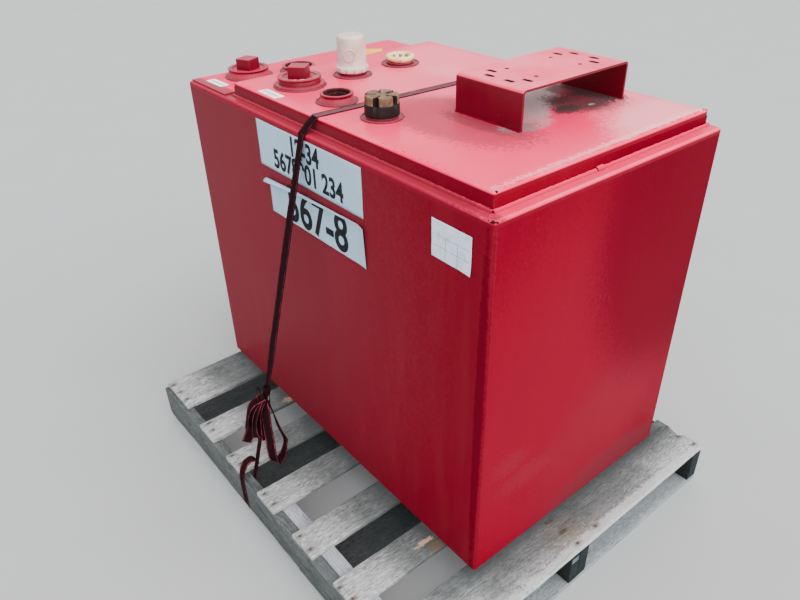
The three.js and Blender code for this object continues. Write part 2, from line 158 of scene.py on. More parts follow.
def makeGroup(name, inputs, outputs, draw):
    group = bpy.data.node_groups.new(name, "ShaderNodeTree")
    for label, value in inputs.items():
        kind = "NodeSocketFloat" if isinstance(value, float) else "NodeSocketVector"
        group.interface.new_socket(name=label, in_out="INPUT", socket_type=kind).default_value = value
    for label in outputs:
        kind = "NodeSocketColor" if label == "Colour" else "NodeSocketFloat"
        group.interface.new_socket(name=label, in_out="OUTPUT", socket_type=kind)
    start = group.nodes.new("NodeGroupInput")
    results = draw(*[start.outputs[label] for label in inputs])
    fill(group.nodes.new("NodeGroupOutput").inputs, dict(zip(outputs, results)))
    return group


def useGroup(group, **values):
    made = treeOf(*values.values()).nodes.new("ShaderNodeGroup")
    made.node_tree = group
    fill(made.inputs, values)
    return made.outputs


# Shared effects
def drawSpot(point, centre, stretch, radius, ragged):
    away = vectorCalc("MULTIPLY", vectorCalc("SUBTRACT", point, centre), stretch)
    far = calc("DIVIDE", vectorCalc("LENGTH", away, output="Value"), radius)
    uneven = times(minus(grainOf(point, 130.0, 4.0, 0.65), 0.5), ragged)
    return [rise(plus(far, times(uneven, 2.0)), 1.0, 0.65)]


def drawDust(point, amount, scale):
    cloud = rise(grainOf(point, scale, 6.0, 0.62), 0.35, 0.7)
    fine = rise(grainOf(point, 420.0, 3.0, 0.6), 0.3, 0.75)
    facing = rise(facingUp(point.id_data), 0.3, 0.95)
    return [times(plus(times(cloud, 0.75), times(fine, 0.35)), facing, amount)]


def drawPaint(point):
    mottle = grainOf(point, 3.2, 5.0, 0.6)
    streak = rise(grainOf(stretched(point, 5.0, 5.0, 0.6), 4.0, 5.0, 0.65), 0.42, 0.72)
    speck = rise(grainOf(point, 210.0, 2.0), 0.71, 0.76)
    height = plus(times(grainOf(point, 330.0, 2.0), 0.16), times(grainOf(point, 26.0), 0.5))
    return [mottle, streak, speck, height]


# The grain runs along X here
def drawTimber(point):
    wander = grainOf(stretched(point, 3.0, 9.0, 9.0), 1.0)
    shift = addNode(point.id_data, "ShaderNodeCombineXYZ", {"Y": times(wander, 0.02), "Z": times(wander, 0.012)})
    bent = vectorCalc("ADD", point, shift)
    rings = grainOf(stretched(bent, 4.0, 70.0, 70.0), 1.0, 4.0, 0.6)
    fibre = grainOf(stretched(bent, 60.0, 320.0, 320.0), 1.0, 4.0, 0.66)
    thin = grainOf(stretched(bent, 190.0, 760.0, 760.0), 1.0, 3.0, 0.6)
    fleck = rise(grainOf(stretched(bent, 120.0, 290.0, 290.0), 1.3, 2.0, 0.6), 0.62, 0.68)
    crackLine = grainOf(stretched(bent, 6.0, 120.0, 120.0), 1.0, 2.0, 0.4)
    lasting = rise(grainOf(stretched(point, 5.0, 26.0, 26.0), 1.0, 2.0), 0.57, 0.63)
    crack = times(rise(calc("ABSOLUTE", minus(crackLine, 0.5)), 0.014, 0.004), lasting)
    blotch = rise(grainOf(stretched(point, 7.0, 13.0, 13.0), 1.0, 5.0, 0.7), 0.36, 0.66)
    grey = mix(rise(rings, 0.36, 0.64), rgb(0.22, 0.225, 0.215), rgb(0.37, 0.37, 0.36))
    for mask, share, shade in (
        (rise(fibre, 0.48, 0.62), 0.85, rgb(0.60, 0.60, 0.59)),
        (rise(fibre, 0.47, 0.34), 0.75, rgb(0.085, 0.09, 0.088)),
        (rise(thin, 0.42, 0.62), 0.35, rgb(0.50, 0.50, 0.49)),
        (blotch, 0.38, rgb(0.13, 0.135, 0.13)),
        (fleck, 0.7, rgb(0.04, 0.04, 0.04)),
        (crack, 0.85, rgb(0.02, 0.02, 0.02)),
    ):
        grey = mix(times(mask, share), grey, shade)
    height = minus(plus(times(fibre, 0.8), times(thin, 0.3)), times(crack, 1.6))
    return [grey, height, crack]


# How close a point is to the tank's walls, where the timber is darkened: painted shade from the tank, with damp
def drawShade(point, middle):
    away = vectorCalc("SUBTRACT", point, middle)
    x, y = partOf(away, "X"), partOf(away, "Y")
    cloud = times(minus(grainOf(point, 11.0, 5.0, 0.6), 0.5), 0.11)
    long = plus(minus(calc("ABSOLUTE", y), tank["halfWidth"] * mm), cloud)
    short = minus(calc("ABSOLUTE", x), tank["halfLength"] * mm)
    front = plus(times(rise(long, 0.215, 0.08), 0.78), times(rise(long, 0.06, 0.0), 0.18))
    front = times(front, rise(short, 0.10, 0.0))
    short = plus(short, times(cloud, 0.6))
    side = plus(times(rise(short, 0.14, 0.04), 0.76), times(rise(short, 0.04, 0.0), 0.18))
    side = times(side, times(rise(y, 0.28, 0.20), rise(y, -0.43, -0.34)))
    return [calc("MAXIMUM", front, side)]


def drawWeave(along, across):
    side = calc("ABSOLUTE", across)
    twill = calc("SINE", times(plus(times(along, 1100.0), times(side, 1400.0)), 1.9))
    warp = calc("SINE", times(across, 1400.0, 3.1))
    thread = rise(plus(times(twill, 0.6), times(warp, 0.4)), -1.0, 1.0)
    return [times(rise(side, 0.0086, 0.0096), rise(side, 0.0118, 0.0112)), thread]


raggedSpot = makeGroup("raggedSpot", {
    "Point": (0.0, 0.0, 0.0), "Centre": (0.0, 0.0, 0.0), "Stretch": (1.0, 1.0, 1.0), "Radius": 0.02, "Ragged": 0.5},
    ["Mask"], drawSpot)
settledDust = makeGroup("settledDust", {"Point": (0.0, 0.0, 0.0), "Amount": 0.5, "Scale": 9.0}, ["Mask"], drawDust)
sprayedPaint = makeGroup(
    "sprayedPaint", {"Point": (0.0, 0.0, 0.0)}, ["Mottle", "Streak", "Speck", "Height"], drawPaint)
weatheredGrain = makeGroup("weatheredGrain", {"Point": (0.0, 0.0, 0.0)}, ["Colour", "Height", "Crack"], drawTimber)
besideTank = makeGroup(
    "besideTank", {"Point": (0.0, 0.0, 0.0), "Middle": (0.0, 0.0, 0.0)}, ["Mask"], drawShade)
wovenWebbing = makeGroup("wovenWebbing", {"Along": 0.0, "Across": 0.0}, ["Edge", "Thread"], drawWeave)


# A new material, and the socket of the object's own coordinates in it
def newMaterial(name, specular=0.5):
    material = bpy.data.materials.new(name)
    material.use_nodes = True
    tree = material.node_tree
    tree.nodes["Principled BSDF"].inputs["Specular IOR Level"].default_value = specular
    return material, addNode(tree, "ShaderNodeTexCoord", output="Object")


def setSkin(material, colour, rough, height=None, relief=0.0):
    tree = material.node_tree
    skin = {"Base Color": colour, "Roughness": rough}
    if height:
        skin["Normal"] = addNode(tree, "ShaderNodeBump", {"Height": height, "Distance": relief, "Strength": 1.0})
    fill(tree.nodes["Principled BSDF"].inputs, skin)
    return material


# Red paint, sun-faded to pink where it faces the sky, a fade that also paints in the sky's sheen as a highlight.
# Chips, rust and grime sit where the tank shows them, among painted sheen, highlight and shade patches.
# Each spot gives its place as for at(), its radius, how ragged it is, its share, its stretch and its colour.
paint = {
    "wall": {"fresh": rgb(0.178, 0.0050, 0.0150), "worn": rgb(0.205, 0.012, 0.024), "deep": rgb(0.14, 0.003, 0.011)},
    "end": {"fresh": rgb(0.176, 0.0003, 0.0105), "worn": rgb(0.205, 0.003, 0.017), "deep": rgb(0.135, 0.0002, 0.007)},
    "fitting": {
        "fresh": rgb(0.14, 0.0008, 0.011), "worn": rgb(0.20, 0.003, 0.019), "deep": rgb(0.095, 0.0003, 0.006)},
    "bracket": {
        "fresh": rgb(0.125, 0.0003, 0.0085), "worn": rgb(0.155, 0.002, 0.013), "deep": rgb(0.085, 0.0002, 0.005)},
    "fadeAndSheen": rgb(0.86, 0.006, 0.085),
    "chalkAndHighlight": rgb(0.98, 0.30, 0.35),
    "speck": rgb(0.48, 0.12, 0.14),
    "rustAndShade": rgb(0.022, 0.006, 0.006),
    "grimeAndShadow": rgb(0.05, 0.026, 0.025),
    "dustAndReflection": rgb(0.46, 0.41, 0.40),
    "paintedSheen": rgb(0.165, 0.034, 0.044),
    "shadow": rgb(0.105, 0.0004, 0.0075),
    "paintedHighlight": rgb(0.218, 0.0028, 0.0165),
    "paintedLowShade": rgb(0.115, 0.022, 0.029),
    "bleachAndHighlight": rgb(1.0, 0.42, 0.44),
    "footGrimeAndShade": rgb(0.135, 0.022, 0.032),
    "chips": [
        ((561, -339, 1001), 5, 1.6),
        ((552, -342, 1001), 3.5, 1.6),
        ((543, -342, 1001), 2.6, 1.6),
        ((567, -334, 999), 3.5, 1.6),
        ((566, -322, 1000), 2, 1.6),
        ((533, -306, 1034), 3, 1.8),
        ((-566, -343, 990), 4, 1.2),
        ((-473, -343, 993), 3.2, 1.2),
        ((-508, -330, 1001), 4, 1.3),
        ((547, 335, 1001), 12, 1.0, 1, (1, 9, 1)),
        ((567, 93, 981), 16, 0.6, 0.5, (1, 7, 1)),
    ],
    # Painted light on the unfaded walls: paler patches of painted sheen for reflections, a painted highlight mid
    # right end wall, painted shadow, and darker painted shade low on that wall
    "paintedLight": {
        "wall": [
            ((-567, -343, 1000), 420, 0.3, 0.25),
            ((-480, -343, 800), 720, 0.3, 0.30, (1, 1, 0.9)),
            ((-350, -343, 700), 860, 0.3, 0.27),
            ((554, -343, 560), 520, 0.5, 0.7, (38, 1, 1), "shadow"),
        ],
        "end": [
            ((567, -90, 480), 520, 0.3, 0.7, (1, 1.2, 0.9), "paintedHighlight"),
            ((567, -40, 450), 420, 0.3, 0.05, (1, 1.1, 0.9)),
            ((567, 240, 200), 380, 0.3, 0.14, (1, 0.8, 1.0)),
            ((567, 170, 118), 105, 0.4, 0.6, (1, 0.33, 1), "paintedLowShade"),
            ((567, -250, 400), 90, 1.5, 0.16, (1, 1.6, 2.6)),
            ((567, -190, 330), 120, 1.6, 0.16, (1, 1.2, 3.4)),
            ((567, 280, 860), 420, 0.3, 0.75, (1, 1.1, 0.8), "shadow"),
        ],
    },
    # Grime and oil under the pump bracket, with its painted shadow, and pale spots that are painted reflections of
    # the sky
    "soiledAndShaded": [
        ((292, 48, 1035), 48, 0.55, 0.75, (1, 1, 3), "dustAndReflection"),
        ((258, 96, 1035), 58, 0.55, 0.8, (1, 1, 3), "dustAndReflection"),
        ((222, 150, 1035), 60, 0.55, 0.8, (1, 1, 3), "dustAndReflection"),
        ((192, 210, 1035), 56, 0.55, 0.7, (1, 1, 3), "dustAndReflection"),
        ((333, 116, 1035), 31, 0.6, 0.9, (1.1, 0.7, 3)),
        ((312, 190, 1035), 86, 0.4, 0.86, (1.25, 0.75, 3)),
        ((290, 262, 1035), 70, 0.45, 0.85, (0.7, 1.4, 3)),
        ((352, 176, 1035), 50, 0.8, 0.55, (1.5, 0.6, 3)),
        ((345, 182, 1035), 7, 0.8, 0.9, (1, 0.6, 3), "dustAndReflection"),
        ((372, 200, 1035), 36, 1.3, 0.4, (1, 0.5, 3)),
        ((262, -88, 1035), 104, 0.8, 0.45, (0.9, 3.0, 3)),
        ((225, -100, 1035), 205, 0.35, 0.5, (0.85, 1.5, 3)),
        ((240, 228, 1035), 54, 0.5, 0.7, (0.9, 1, 3)),
        ((268, 150, 1035), 40, 0.9, 0.5, (1, 1, 3)),
        ((338, -20, 1035), 64, 0.6, 0.5, (1.4, 0.8, 3), "dustAndReflection"),
        ((352, -38, 1035), 44, 1.2, 0.42, (1.6, 0.8, 3)),
        ((360, -84, 1035), 34, 1.6, 0.22, (0.5, 1.6, 3)),
    ],
    # Chalky dust on the top, partly a painted highlight where the top's right part, far side and right edge are paler
    "chalkAndHighlightSpots": [
        ((480, 290, 1035), 230, 0.4, 0.45, (1.2, 1.0, 3)),
        ((515, 250, 1035), 260, 0.35, 0.30, (2.2, 1.0, 3), "bleachAndHighlight"),
        ((-60, 20, 1035), 150, 0.5, 0.22, (0.8, 0.8, 3)),
        ((-90, 250, 1035), 240, 0.4, 0.33, (0.8, 1.3, 3)),
        ((524, 120, 1035), 480, 1.3, 0.42, (34, 1, 3), "bleachAndHighlight"),
    ],
    # painted shade: the front strip of the ledge kept darker, with less of the fade's sheen
    "darkened": [
        ((-80, -332, 1003), 900, 0.25, 0.85, (1.05, 24, 30)),
    ],
    "slotRims": [  # dirt and painted shade round the slots and holes of the bracket
        ((272.5 + sideX * x, 98 + sideY * y, 1134), radius, 0.35, 0.8, (1, narrow, 0.3))
        for x, y, radius, narrow in ((50, 105, 18.5, 1.9), (27.5, 134, 18.5, 1.9), (40.5, 69.5, 8, 1.0))
        for sideX in (-1, 1) for sideY in (-1, 1)
    ],
}


# One ragged patch of colour laid over another
def addSpot(point, colour, usual, place, radius, ragged, share=1.0, stretch=(1, 1, 1), own=None):
    mask = useGroup(raggedSpot, Point=point, Centre=at(*place), Stretch=stretch, Radius=radius * mm, Ragged=ragged)
    share = times(mask["Mask"], share)
    over = own or usual
    return mix(share, colour, paint.get(over, over)), share


def makeRedPaint(name, kind="wall", fadeAndSheenShare=0.0, dust=0.0, specular=0.01, spots=True, soiledAndShaded=False, foot=None):
    material, point = newMaterial(name, specular)
    skin = useGroup(sprayedPaint, Point=point)
    shade = paint[kind]
    colour = mix(times(skin["Streak"], 0.5), shade["fresh"], shade["worn"])
    colour = mix(times(skin["Mottle"], 0.4), colour, shade["deep"])
    # painted sheen, highlight and shadow patches on the unfaded walls
    for spot in paint["paintedLight"].get(kind, ()) if not fadeAndSheenShare else ():
        colour, _ = addSpot(point, colour, "paintedSheen", *spot)
    colour = mix(times(skin["Speck"], 0.2), colour, paint["speck"])
    rough = plus(times(skin["Mottle"], 0.16), 0.24)
    if fadeAndSheenShare:
        # sun fade to pink where the paint faces up; on tops and rounded edges it also stands in for the sky's sheen,
        # a painted highlight
        uneven = plus(times(skin["Mottle"], 0.4), 0.75)
        fadeAndSheen = times(rise(facingUp(point.id_data), 0.22, 0.5), uneven, fadeAndSheenShare)
        colour = mix(calc("MINIMUM", fadeAndSheen, 1.0), colour, paint["fadeAndSheen"])
        # settled chalk dust; on the rounded edge skin it paints the pale highlight line along the bends
        settled = useGroup(settledDust, Point=point, Amount=dust, Scale=7.0)["Mask"]
        colour = mix(settled, colour, paint["chalkAndHighlight"])
        rough = plus(rough, times(settled, 0.35))
    if foot:  # dirt and painted contact shade round the foot of a fitting
        low = rise(partOf(point, "Z"), (foot + 9) * mm, (foot + 3) * mm)
        colour = mix(times(low, plus(times(skin["Mottle"], 0.5), 0.45)), colour, paint["footGrimeAndShade"])
    # chalk with painted highlight, painted shade on the front ledge, grime with painted shadow, dirt with painted
    # shade round slots, and chips
    for wanted, spotList, usual, roughened in (
        (soiledAndShaded, "chalkAndHighlightSpots", "chalkAndHighlight", False),
        (fadeAndSheenShare and spots and not soiledAndShaded, "darkened", shade["worn"], False),
        (soiledAndShaded, "soiledAndShaded", "grimeAndShadow", True),
        (kind == "bracket", "slotRims", "rustAndShade", False),
        (spots, "chips", "rustAndShade", True),
    ):
        for spot in paint[spotList] if wanted else ():
            colour, share = addSpot(point, colour, usual, *spot)
            if roughened:
                rough = plus(rough, times(share, 0.4))
    return setSkin(material, colour, rough, skin["Height"], 0.0006)


def makeSteel():
    material, point = newMaterial("rustySteel", 0.12)
    pitted = rise(grainOf(point, 140.0, 6.0, 0.7), 0.38, 0.62)
    colour = mix(pitted, rgb(0.012, 0.005, 0.005), rgb(0.07, 0.010, 0.014))
    return setSkin(material, colour, rise(pitted, -1.4, 1.6), pitted, 0.0012)


# Timber, with the fresh scars and stains of single boards and one paler band, given as the paint's spots are
timber = {
    "scars": [
        ((450, -366, 121), 30, 1.2, 0.6, (1.0, 1.4, 1), rgb(0.12, 0.075, 0.04)),
        ((434, -378, 121), 15, 1.5, 0.8, (1.9, 0.5, 1), rgb(0.40, 0.31, 0.21)),
        ((-222, -350, 121), 20, 1.2, 0.55, (1.6, 0.8, 1), rgb(0.30, 0.21, 0.12)),
        ((628, -96, 121), 62, 1.6, 0.45, (1.6, 0.8, 1), rgb(0.11, 0.085, 0.06)),
        ((655, -70, 121), 45, 1.6, 0.35, (1.8, 0.7, 1), rgb(0.22, 0.16, 0.10)),
        ((635, 30, 121), 90, 1.4, 0.4, (2.6, 0.8, 1), rgb(0.07, 0.072, 0.07)),
        # a long paler band along the outer edge of the last deck board
        ((676, 60, 121), 620, 0.9, 0.55, (36, 1, 1), rgb(0.52, 0.53, 0.51)),
    ],
    "edgeShade": [
        # painted shade under the deck board, on the visible strip of the last bottom board
        ((598, 0, 13), 700, 0.6, 0.75, (17, 1, 1), rgb(0.05, 0.055, 0.055)),
    ],
}


def makeTimber(name, quarterTurn, tint=None, tintShare=0.0, scars=(), shade=0.0, specular=0.25):
    material, point = newMaterial(name, specular)
    turned = addNode(point.id_data, "ShaderNodeMapping", {
        "Vector": point, "Rotation": (0, 0, math.pi / 2 * quarterTurn)})
    grain = useGroup(weatheredGrain, Point=turned)
    colour = grain["Colour"]
    if tint:
        colour = mix(tintShare, colour, tint)
    if shade:
        # painted shade of the tank on the timber next to it, with damp
        paintedTankShade = useGroup(besideTank, Point=point, Middle=tankMiddle)["Mask"]
        colour = mix(times(paintedTankShade, shade), colour, rgb(0.030, 0.036, 0.037))
    for scar in scars:
        colour, _ = addSpot(point, colour, None, *scar)
    stain = addNode(point.id_data, "ShaderNodeAttribute", output="Fac", attribute_name="nailStain")
    colour = mix(times(stain, 0.85), colour, rgb(0.035, 0.026, 0.02))
    height = minus(grain["Height"], times(stain, 0.8))
    return setSkin(material, colour, plus(times(grain["Crack"], 0.1), 0.82), height, 0.0014)


def makePlastic(name, light, dark, rough, dustAmount, dustColour, scale=22.0, relief=0.0004, specular=0.5):
    material, point = newMaterial(name, specular)
    cloud = rise(grainOf(point, scale, 6.0, 0.65), 0.35, 0.72)
    settled = useGroup(settledDust, Point=point, Amount=dustAmount, Scale=40.0)["Mask"]
    colour = mix(settled, mix(cloud, light, dark), dustColour)
    streak = rise(grainOf(stretched(point, 90.0, 90.0, 7.0), 1.0, 4.0, 0.6), 0.5, 0.8)
    colour = mix(times(streak, 0.35), colour, dark)
    worn = plus(times(cloud, 0.15), rough, times(settled, 0.3))
    return setSkin(material, colour, worn, grainOf(point, 380.0, 3.0, 0.6), relief)


# Woven polyester; the piece's UV map is in metres, with the middle of the width at 0
webbing = {
    "dark": rgb(0.007, 0.0020, 0.003),
    "thread": rgb(0.019, 0.0058, 0.008),
    "edge": rgb(0.25, 0.035, 0.06),
    "fadeAndSheen": rgb(0.165, 0.072, 0.082),
}


def makeWebbing(name, edgeShare, fadeAndSheenShare):
    material, point = newMaterial(name, 0.02)
    along, across = sheetPlace(point.id_data)
    weave = useGroup(wovenWebbing, Along=along, Across=across)
    wear = rise(grainOf(point, 45.0, 5.0, 0.7), 0.35, 0.7)
    colour = mix(weave["Thread"], webbing["dark"], webbing["thread"])
    # sun fade where the strap faces up, with painted sheen
    sunlit = times(rise(facingUp(point.id_data), 0.7, 0.95), fadeAndSheenShare)
    colour = mix(times(plus(times(wear, 0.4), 0.6), sunlit), colour, webbing["fadeAndSheen"])
    broken = plus(times(rise(grainOf(point, 60.0, 2.0), 0.45, 0.6), 0.75), 0.25)
    # a paler edge strip, broken by noise, partly a painted highlight on the strands' edges
    colour = mix(times(weave["Edge"], edgeShare, broken), colour, webbing["edge"])
    return setSkin(material, colour, plus(times(wear, 0.12), 0.72), weave["Thread"], 0.00025)


# White sign vinyl, grimed at its edges; the UV map runs from 0 to 1 over the sheet
def makeVinyl(name, sheetColour, backing):
    material, point = newMaterial(name)
    gapX, gapY = [minus(0.5, calc("ABSOLUTE", minus(place, 0.5))) for place in sheetPlace(point.id_data)]
    grimy = times(rise(calc("MINIMUM", gapX, times(gapY, 0.3)), 0.012, 0.0), 0.5)
    cloud = rise(grainOf(point, 14.0, 5.0, 0.6), 0.4, 0.75)
    scratch = rise(grainOf(stretched(point, 9.0, 9.0, 90.0), 2.0, 4.0, 0.6), 0.62, 0.8)
    colour = mix(times(cloud, 0.5), sheetColour, backing)
    colour = mix(times(scratch, 0.2), colour, rgb(0.32, 0.33, 0.34))
    colour = mix(grimy, colour, rgb(0.25, 0.22, 0.2))
    return setSkin(material, colour, plus(times(cloud, 0.2), 0.3), grainOf(point, 60.0), 0.0008)


# Ruled paper: thin frame lines at shares of the sheet's width and height
def makePaper():
    material, point = newMaterial("ruledPaper", 0.3)
    x, y = sheetPlace(point.id_data)
    ink = None
    for across, along, share, low, high in (
        (y, x, 0.62, 0.04, 0.97), (y, x, 0.33, 0.04, 0.97), (x, y, 0.36, 0.05, 0.62), (x, y, 0.66, 0.05, 0.62),
    ):
        ends = times(rise(along, low, low + 0.01), rise(along, high, high - 0.01))
        line = times(rise(calc("ABSOLUTE", minus(across, share)), 0.009, 0.005), ends)
        ink = calc("MAXIMUM", ink, line) if ink else line
    cloud = grainOf(point, 55.0, 5.0, 0.65)
    colour = mix(rise(cloud, 0.4, 0.75), rgb(0.62, 0.69, 0.84), rgb(0.46, 0.52, 0.64))
    colour = mix(times(ink, 0.75), colour, rgb(0.10, 0.10, 0.12))
    return setSkin(material, colour, rise(cloud, -0.9, 1.1), cloud, 0.0012)


def makePlain(name, light, dark, scale=60.0, rough=0.6, specular=0.5):
    material, point = newMaterial(name, specular)
    cloud = rise(grainOf(point, scale, 5.0, 0.65), 0.35, 0.7)
    return setSkin(material, mix(cloud, light, dark), plus(times(cloud, 0.15), rough), cloud, 0.0003)


redPaint = makeRedPaint("redPaint")
redEnd = makeRedPaint("redPaintEnd", "end")
# the rounded edges' skin: its fade and chalk paint the highlight line along the bends
redEdgeHighlight = makeRedPaint("redPaintEdgeHighlight", "end", fadeAndSheenShare=1.0, dust=0.45, specular=0.05)
redLid = makeRedPaint("redPaintLid", fadeAndSheenShare=0.92, dust=0.04, specular=0.1)
redTop = makeRedPaint("redPaintTop", fadeAndSheenShare=1.05, dust=0.08, specular=0.25, soiledAndShaded=True)
redBracket = makeRedPaint("redPaintBracket", "bracket", fadeAndSheenShare=1.0, dust=0.52, specular=0.3, spots=False)
redFitting, redLedgeFitting = [
    makeRedPaint(name, "fitting", fadeAndSheenShare=0.24, dust=0.06, specular=0.2, spots=False, foot=foot)
    for name, foot in (("redPaintFitting", 1035), ("redPaintLedge", ledgeTop))]
rustySteel = makeSteel()
boardTimber = makeTimber("boardTimber", 1, scars=timber["scars"], shade=1.0)
# the bottom boards are tinted dark: painted shade under the deck
lowTimber = makeTimber("lowTimber", 1, rgb(0.030, 0.034, 0.035), 0.80, shade=0.7, specular=0.06)
edgeTimber = makeTimber("edgeTimber", 1, rgb(0.13, 0.155, 0.17), 0.6, scars=timber["edgeShade"])
stringerTimber = makeTimber("stringerTimber", 0, rgb(0.030, 0.037, 0.039), 0.80, specular=0.05)
# the inner stringers are tinted near black: painted shade inside the pallet
innerTimber = makeTimber("innerTimber", 0, rgb(0.007, 0.011, 0.012), 0.955, specular=0.03)
freshTimber = makeTimber("lilacTimber", 0, rgb(0.30, 0.31, 0.37), 0.55)
whitePlastic = makePlastic("whitePlastic", rgb(0.66, 0.55, 0.475), rgb(0.46, 0.36, 0.30), 0.38, 0.1,
                           rgb(0.45, 0.34, 0.28))
creamPlastic = makePlastic("creamPlastic", rgb(0.95, 0.72, 0.34), rgb(0.60, 0.40, 0.15), 0.4, 0.15,
                           rgb(0.40, 0.29, 0.14), 45.0)
dirtyPlastic = makePlastic("dirtyPlastic", rgb(0.20, 0.17, 0.12), rgb(0.07, 0.05, 0.035), 0.6, 0.5,
                           rgb(0.30, 0.27, 0.20), 60.0, 0.001)
blackPlastic = makePlastic("blackPlastic", rgb(0.008, 0.007, 0.006), rgb(0.016, 0.013, 0.011), 0.5, 0.2,
                           rgb(0.06, 0.045, 0.03), 55.0, specular=0.15)
notchPlastic = makePlastic("notchPlastic", rgb(0.006, 0.005, 0.004), rgb(0.014, 0.010, 0.007), 0.7, 0.1,
                           rgb(0.03, 0.02, 0.012), 90.0, specular=0.1)
dustyPlastic = makePlastic("khakiPlastic", rgb(0.155, 0.092, 0.050), rgb(0.05, 0.030, 0.015), 0.6, 0.7,
                           rgb(0.27, 0.17, 0.10), 38.0, specular=0.2)
strapWebbing = makeWebbing("strapWebbing", 0.35, 0.03)
hankWebbing = makeWebbing("hankWebbing", 1.0, 0.02)
topWebbing = makeWebbing("topWebbing", 0.35, 1.0)
signVinyl = makeVinyl("signVinyl", rgb(0.33, 0.48, 0.61), rgb(0.27, 0.40, 0.51))
ruledPaper = makePaper()
signInk = makePlain("signInk", rgb(0.008, 0.008, 0.009), rgb(0.022, 0.022, 0.025), 90.0, 0.6, specular=0.06)
stickerWhite = makePlain("stickerWhite", rgb(0.97, 0.96, 0.95), rgb(0.86, 0.85, 0.84))
stickerYellow = makePlain("stickerYellow", rgb(0.90, 0.47, 0.012), rgb(0.74, 0.36, 0.01))
stickerLine = makePlain("stickerLine", rgb(0.14, 0.14, 0.15), rgb(0.24, 0.24, 0.25))
sealant = makePlain("wornSealant", rgb(0.46, 0.26, 0.22), rgb(0.28, 0.01, 0.02), 120.0, 0.6)
nailSteel = makePlain("nailSteel", rgb(0.035, 0.03, 0.028), rgb(0.09, 0.05, 0.035), 300.0, 0.55)
plateSteel = makePlain("plateSteel", rgb(0.05, 0.07, 0.08), rgb(0.10, 0.12, 0.13), 80.0, 0.4)
print("materials ready")


# Mesh helpers
def finishPiece(name, bm, materials, nodes, angle=35.0, recalc=True):
    if recalc:
        bmesh.ops.recalc_face_normals(bm, faces=bm.faces)
    mesh = bpy.data.meshes.new(name)
    bm.to_mesh(mesh)
    bm.free()
    for material in materials:
        mesh.materials.append(material)
    mesh.polygons.foreach_set("use_smooth", [True] * len(mesh.polygons))
    mesh.set_sharp_from_angle(angle=math.radians(angle))
    piece = addObject(name, mesh)
    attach(piece, "root")
    if nodes:
        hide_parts(*nodes)
    return piece


def thicken(piece, name, thickness):
    solid = piece.modifiers.new(name, "SOLIDIFY")
    solid.thickness = thickness * mm
    solid.offset = 0.0


def cadCopy(node):
    bm = bmesh.new()
    bm.from_mesh(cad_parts[node].data)
    bmesh.ops.remove_doubles(bm, verts=bm.verts, dist=1e-5)
    bmesh.ops.dissolve_limit(bm, angle_limit=math.radians(1), verts=bm.verts, edges=bm.edges)
    return bm


# Cuts the mesh into rows, at places in millimetres along one axis
def cutRows(bm, axis, places):
    normal = Vector((0, 0, 0))
    normal[axis] = 1
    for place in places:
        bmesh.ops.bisect_plane(bm, geom=bm.verts[:] + bm.edges[:] + bm.faces[:], plane_co=at(place, place, place),
                               plane_no=normal, dist=1e-6)


def spaced(low, high, step):
    count = max(int((high - low) / step), 1)
    return [low + (high - low) * index / count for index in range(1, count)]


def fade(value, low, high, reach):
    nearest = min(value - low, high - value)
    share = min(max(nearest / reach, 0.0), 1.0)
    return share * share * (3 - 2 * share)


def roundEdges(bm, edges, reach, segments=3):
    bmesh.ops.bevel(bm, geom=edges, offset=reach * mm, segments=segments, profile=0.5, affect="EDGES", material=-1)


def uprightEdges(bm, verts):
    return [edge for edge in bm.edges if edge.verts[0] in verts
            and abs((edge.verts[0].co - edge.verts[1].co).normalized().z) > 0.9]


# A block with its middle at a place; place and size are in millimetres
def addBlock(bm, place, size, turn=0):
    matrix = Matrix.Translation(at(*place)) @ Matrix.Rotation(math.radians(turn), 4, "Z")
    scale = Matrix.Diagonal((*[side * mm for side in size], 1))
    return bmesh.ops.create_cube(bm, size=1.0, matrix=matrix @ scale)["verts"]


def setSlotOf(verts, slot):
    for face in {face for vert in verts for face in vert.link_faces}:
        face.material_index = slot


def startRing(bm, segments, radius, matrix):
    made = bmesh.ops.create_circle(bm, cap_ends=True, segments=segments, radius=radius, matrix=matrix)
    return list({edge for vert in made["verts"] for edge in vert.link_edges})


# Draws a ring of edges out; gives the new vertices, the new faces and the new ring
def drawOut(bm, ring):
    grown = bmesh.ops.extrude_edge_only(bm, edges=ring)["geom"]
    verts = [part for part in grown if isinstance(part, bmesh.types.BMVert)]
    faces = [part for part in grown if isinstance(part, bmesh.types.BMFace)]
    return verts, faces, [part for part in grown if isinstance(part, bmesh.types.BMEdge)
                          and part.verts[0] in verts and part.verts[1] in verts]


# A smooth line through points of any number of values, walked in even steps
def smoothLine(points, step):
    points = [Vector(point) for point in points]
    dense = []
    for index in range(len(points) - 1):
        before = points[max(index - 1, 0)]
        start = points[index]
        end = points[index + 1]
        after = points[min(index + 2, len(points) - 1)]
        for part in range(20):
            t = part / 20
            dense.append(0.5 * (2 * start + (end - before) * t + (2 * before - 5 * start + 4 * end - after) * t ** 2
                                + (3 * start - before - 3 * end + after) * t ** 3))
    dense.append(points[-1])
    evenly = [dense[0]]
    left = step
    for start, end in zip(dense, dense[1:]):
        length = (end.to_3d() - start.to_3d()).length
        while length > 0 and left <= length:
            evenly.append(start.lerp(end, left / length))
            left += step
        left -= length
    if (evenly[-1].to_3d() - dense[-1].to_3d()).length > step * 0.3:
        evenly.append(dense[-1])
    return evenly


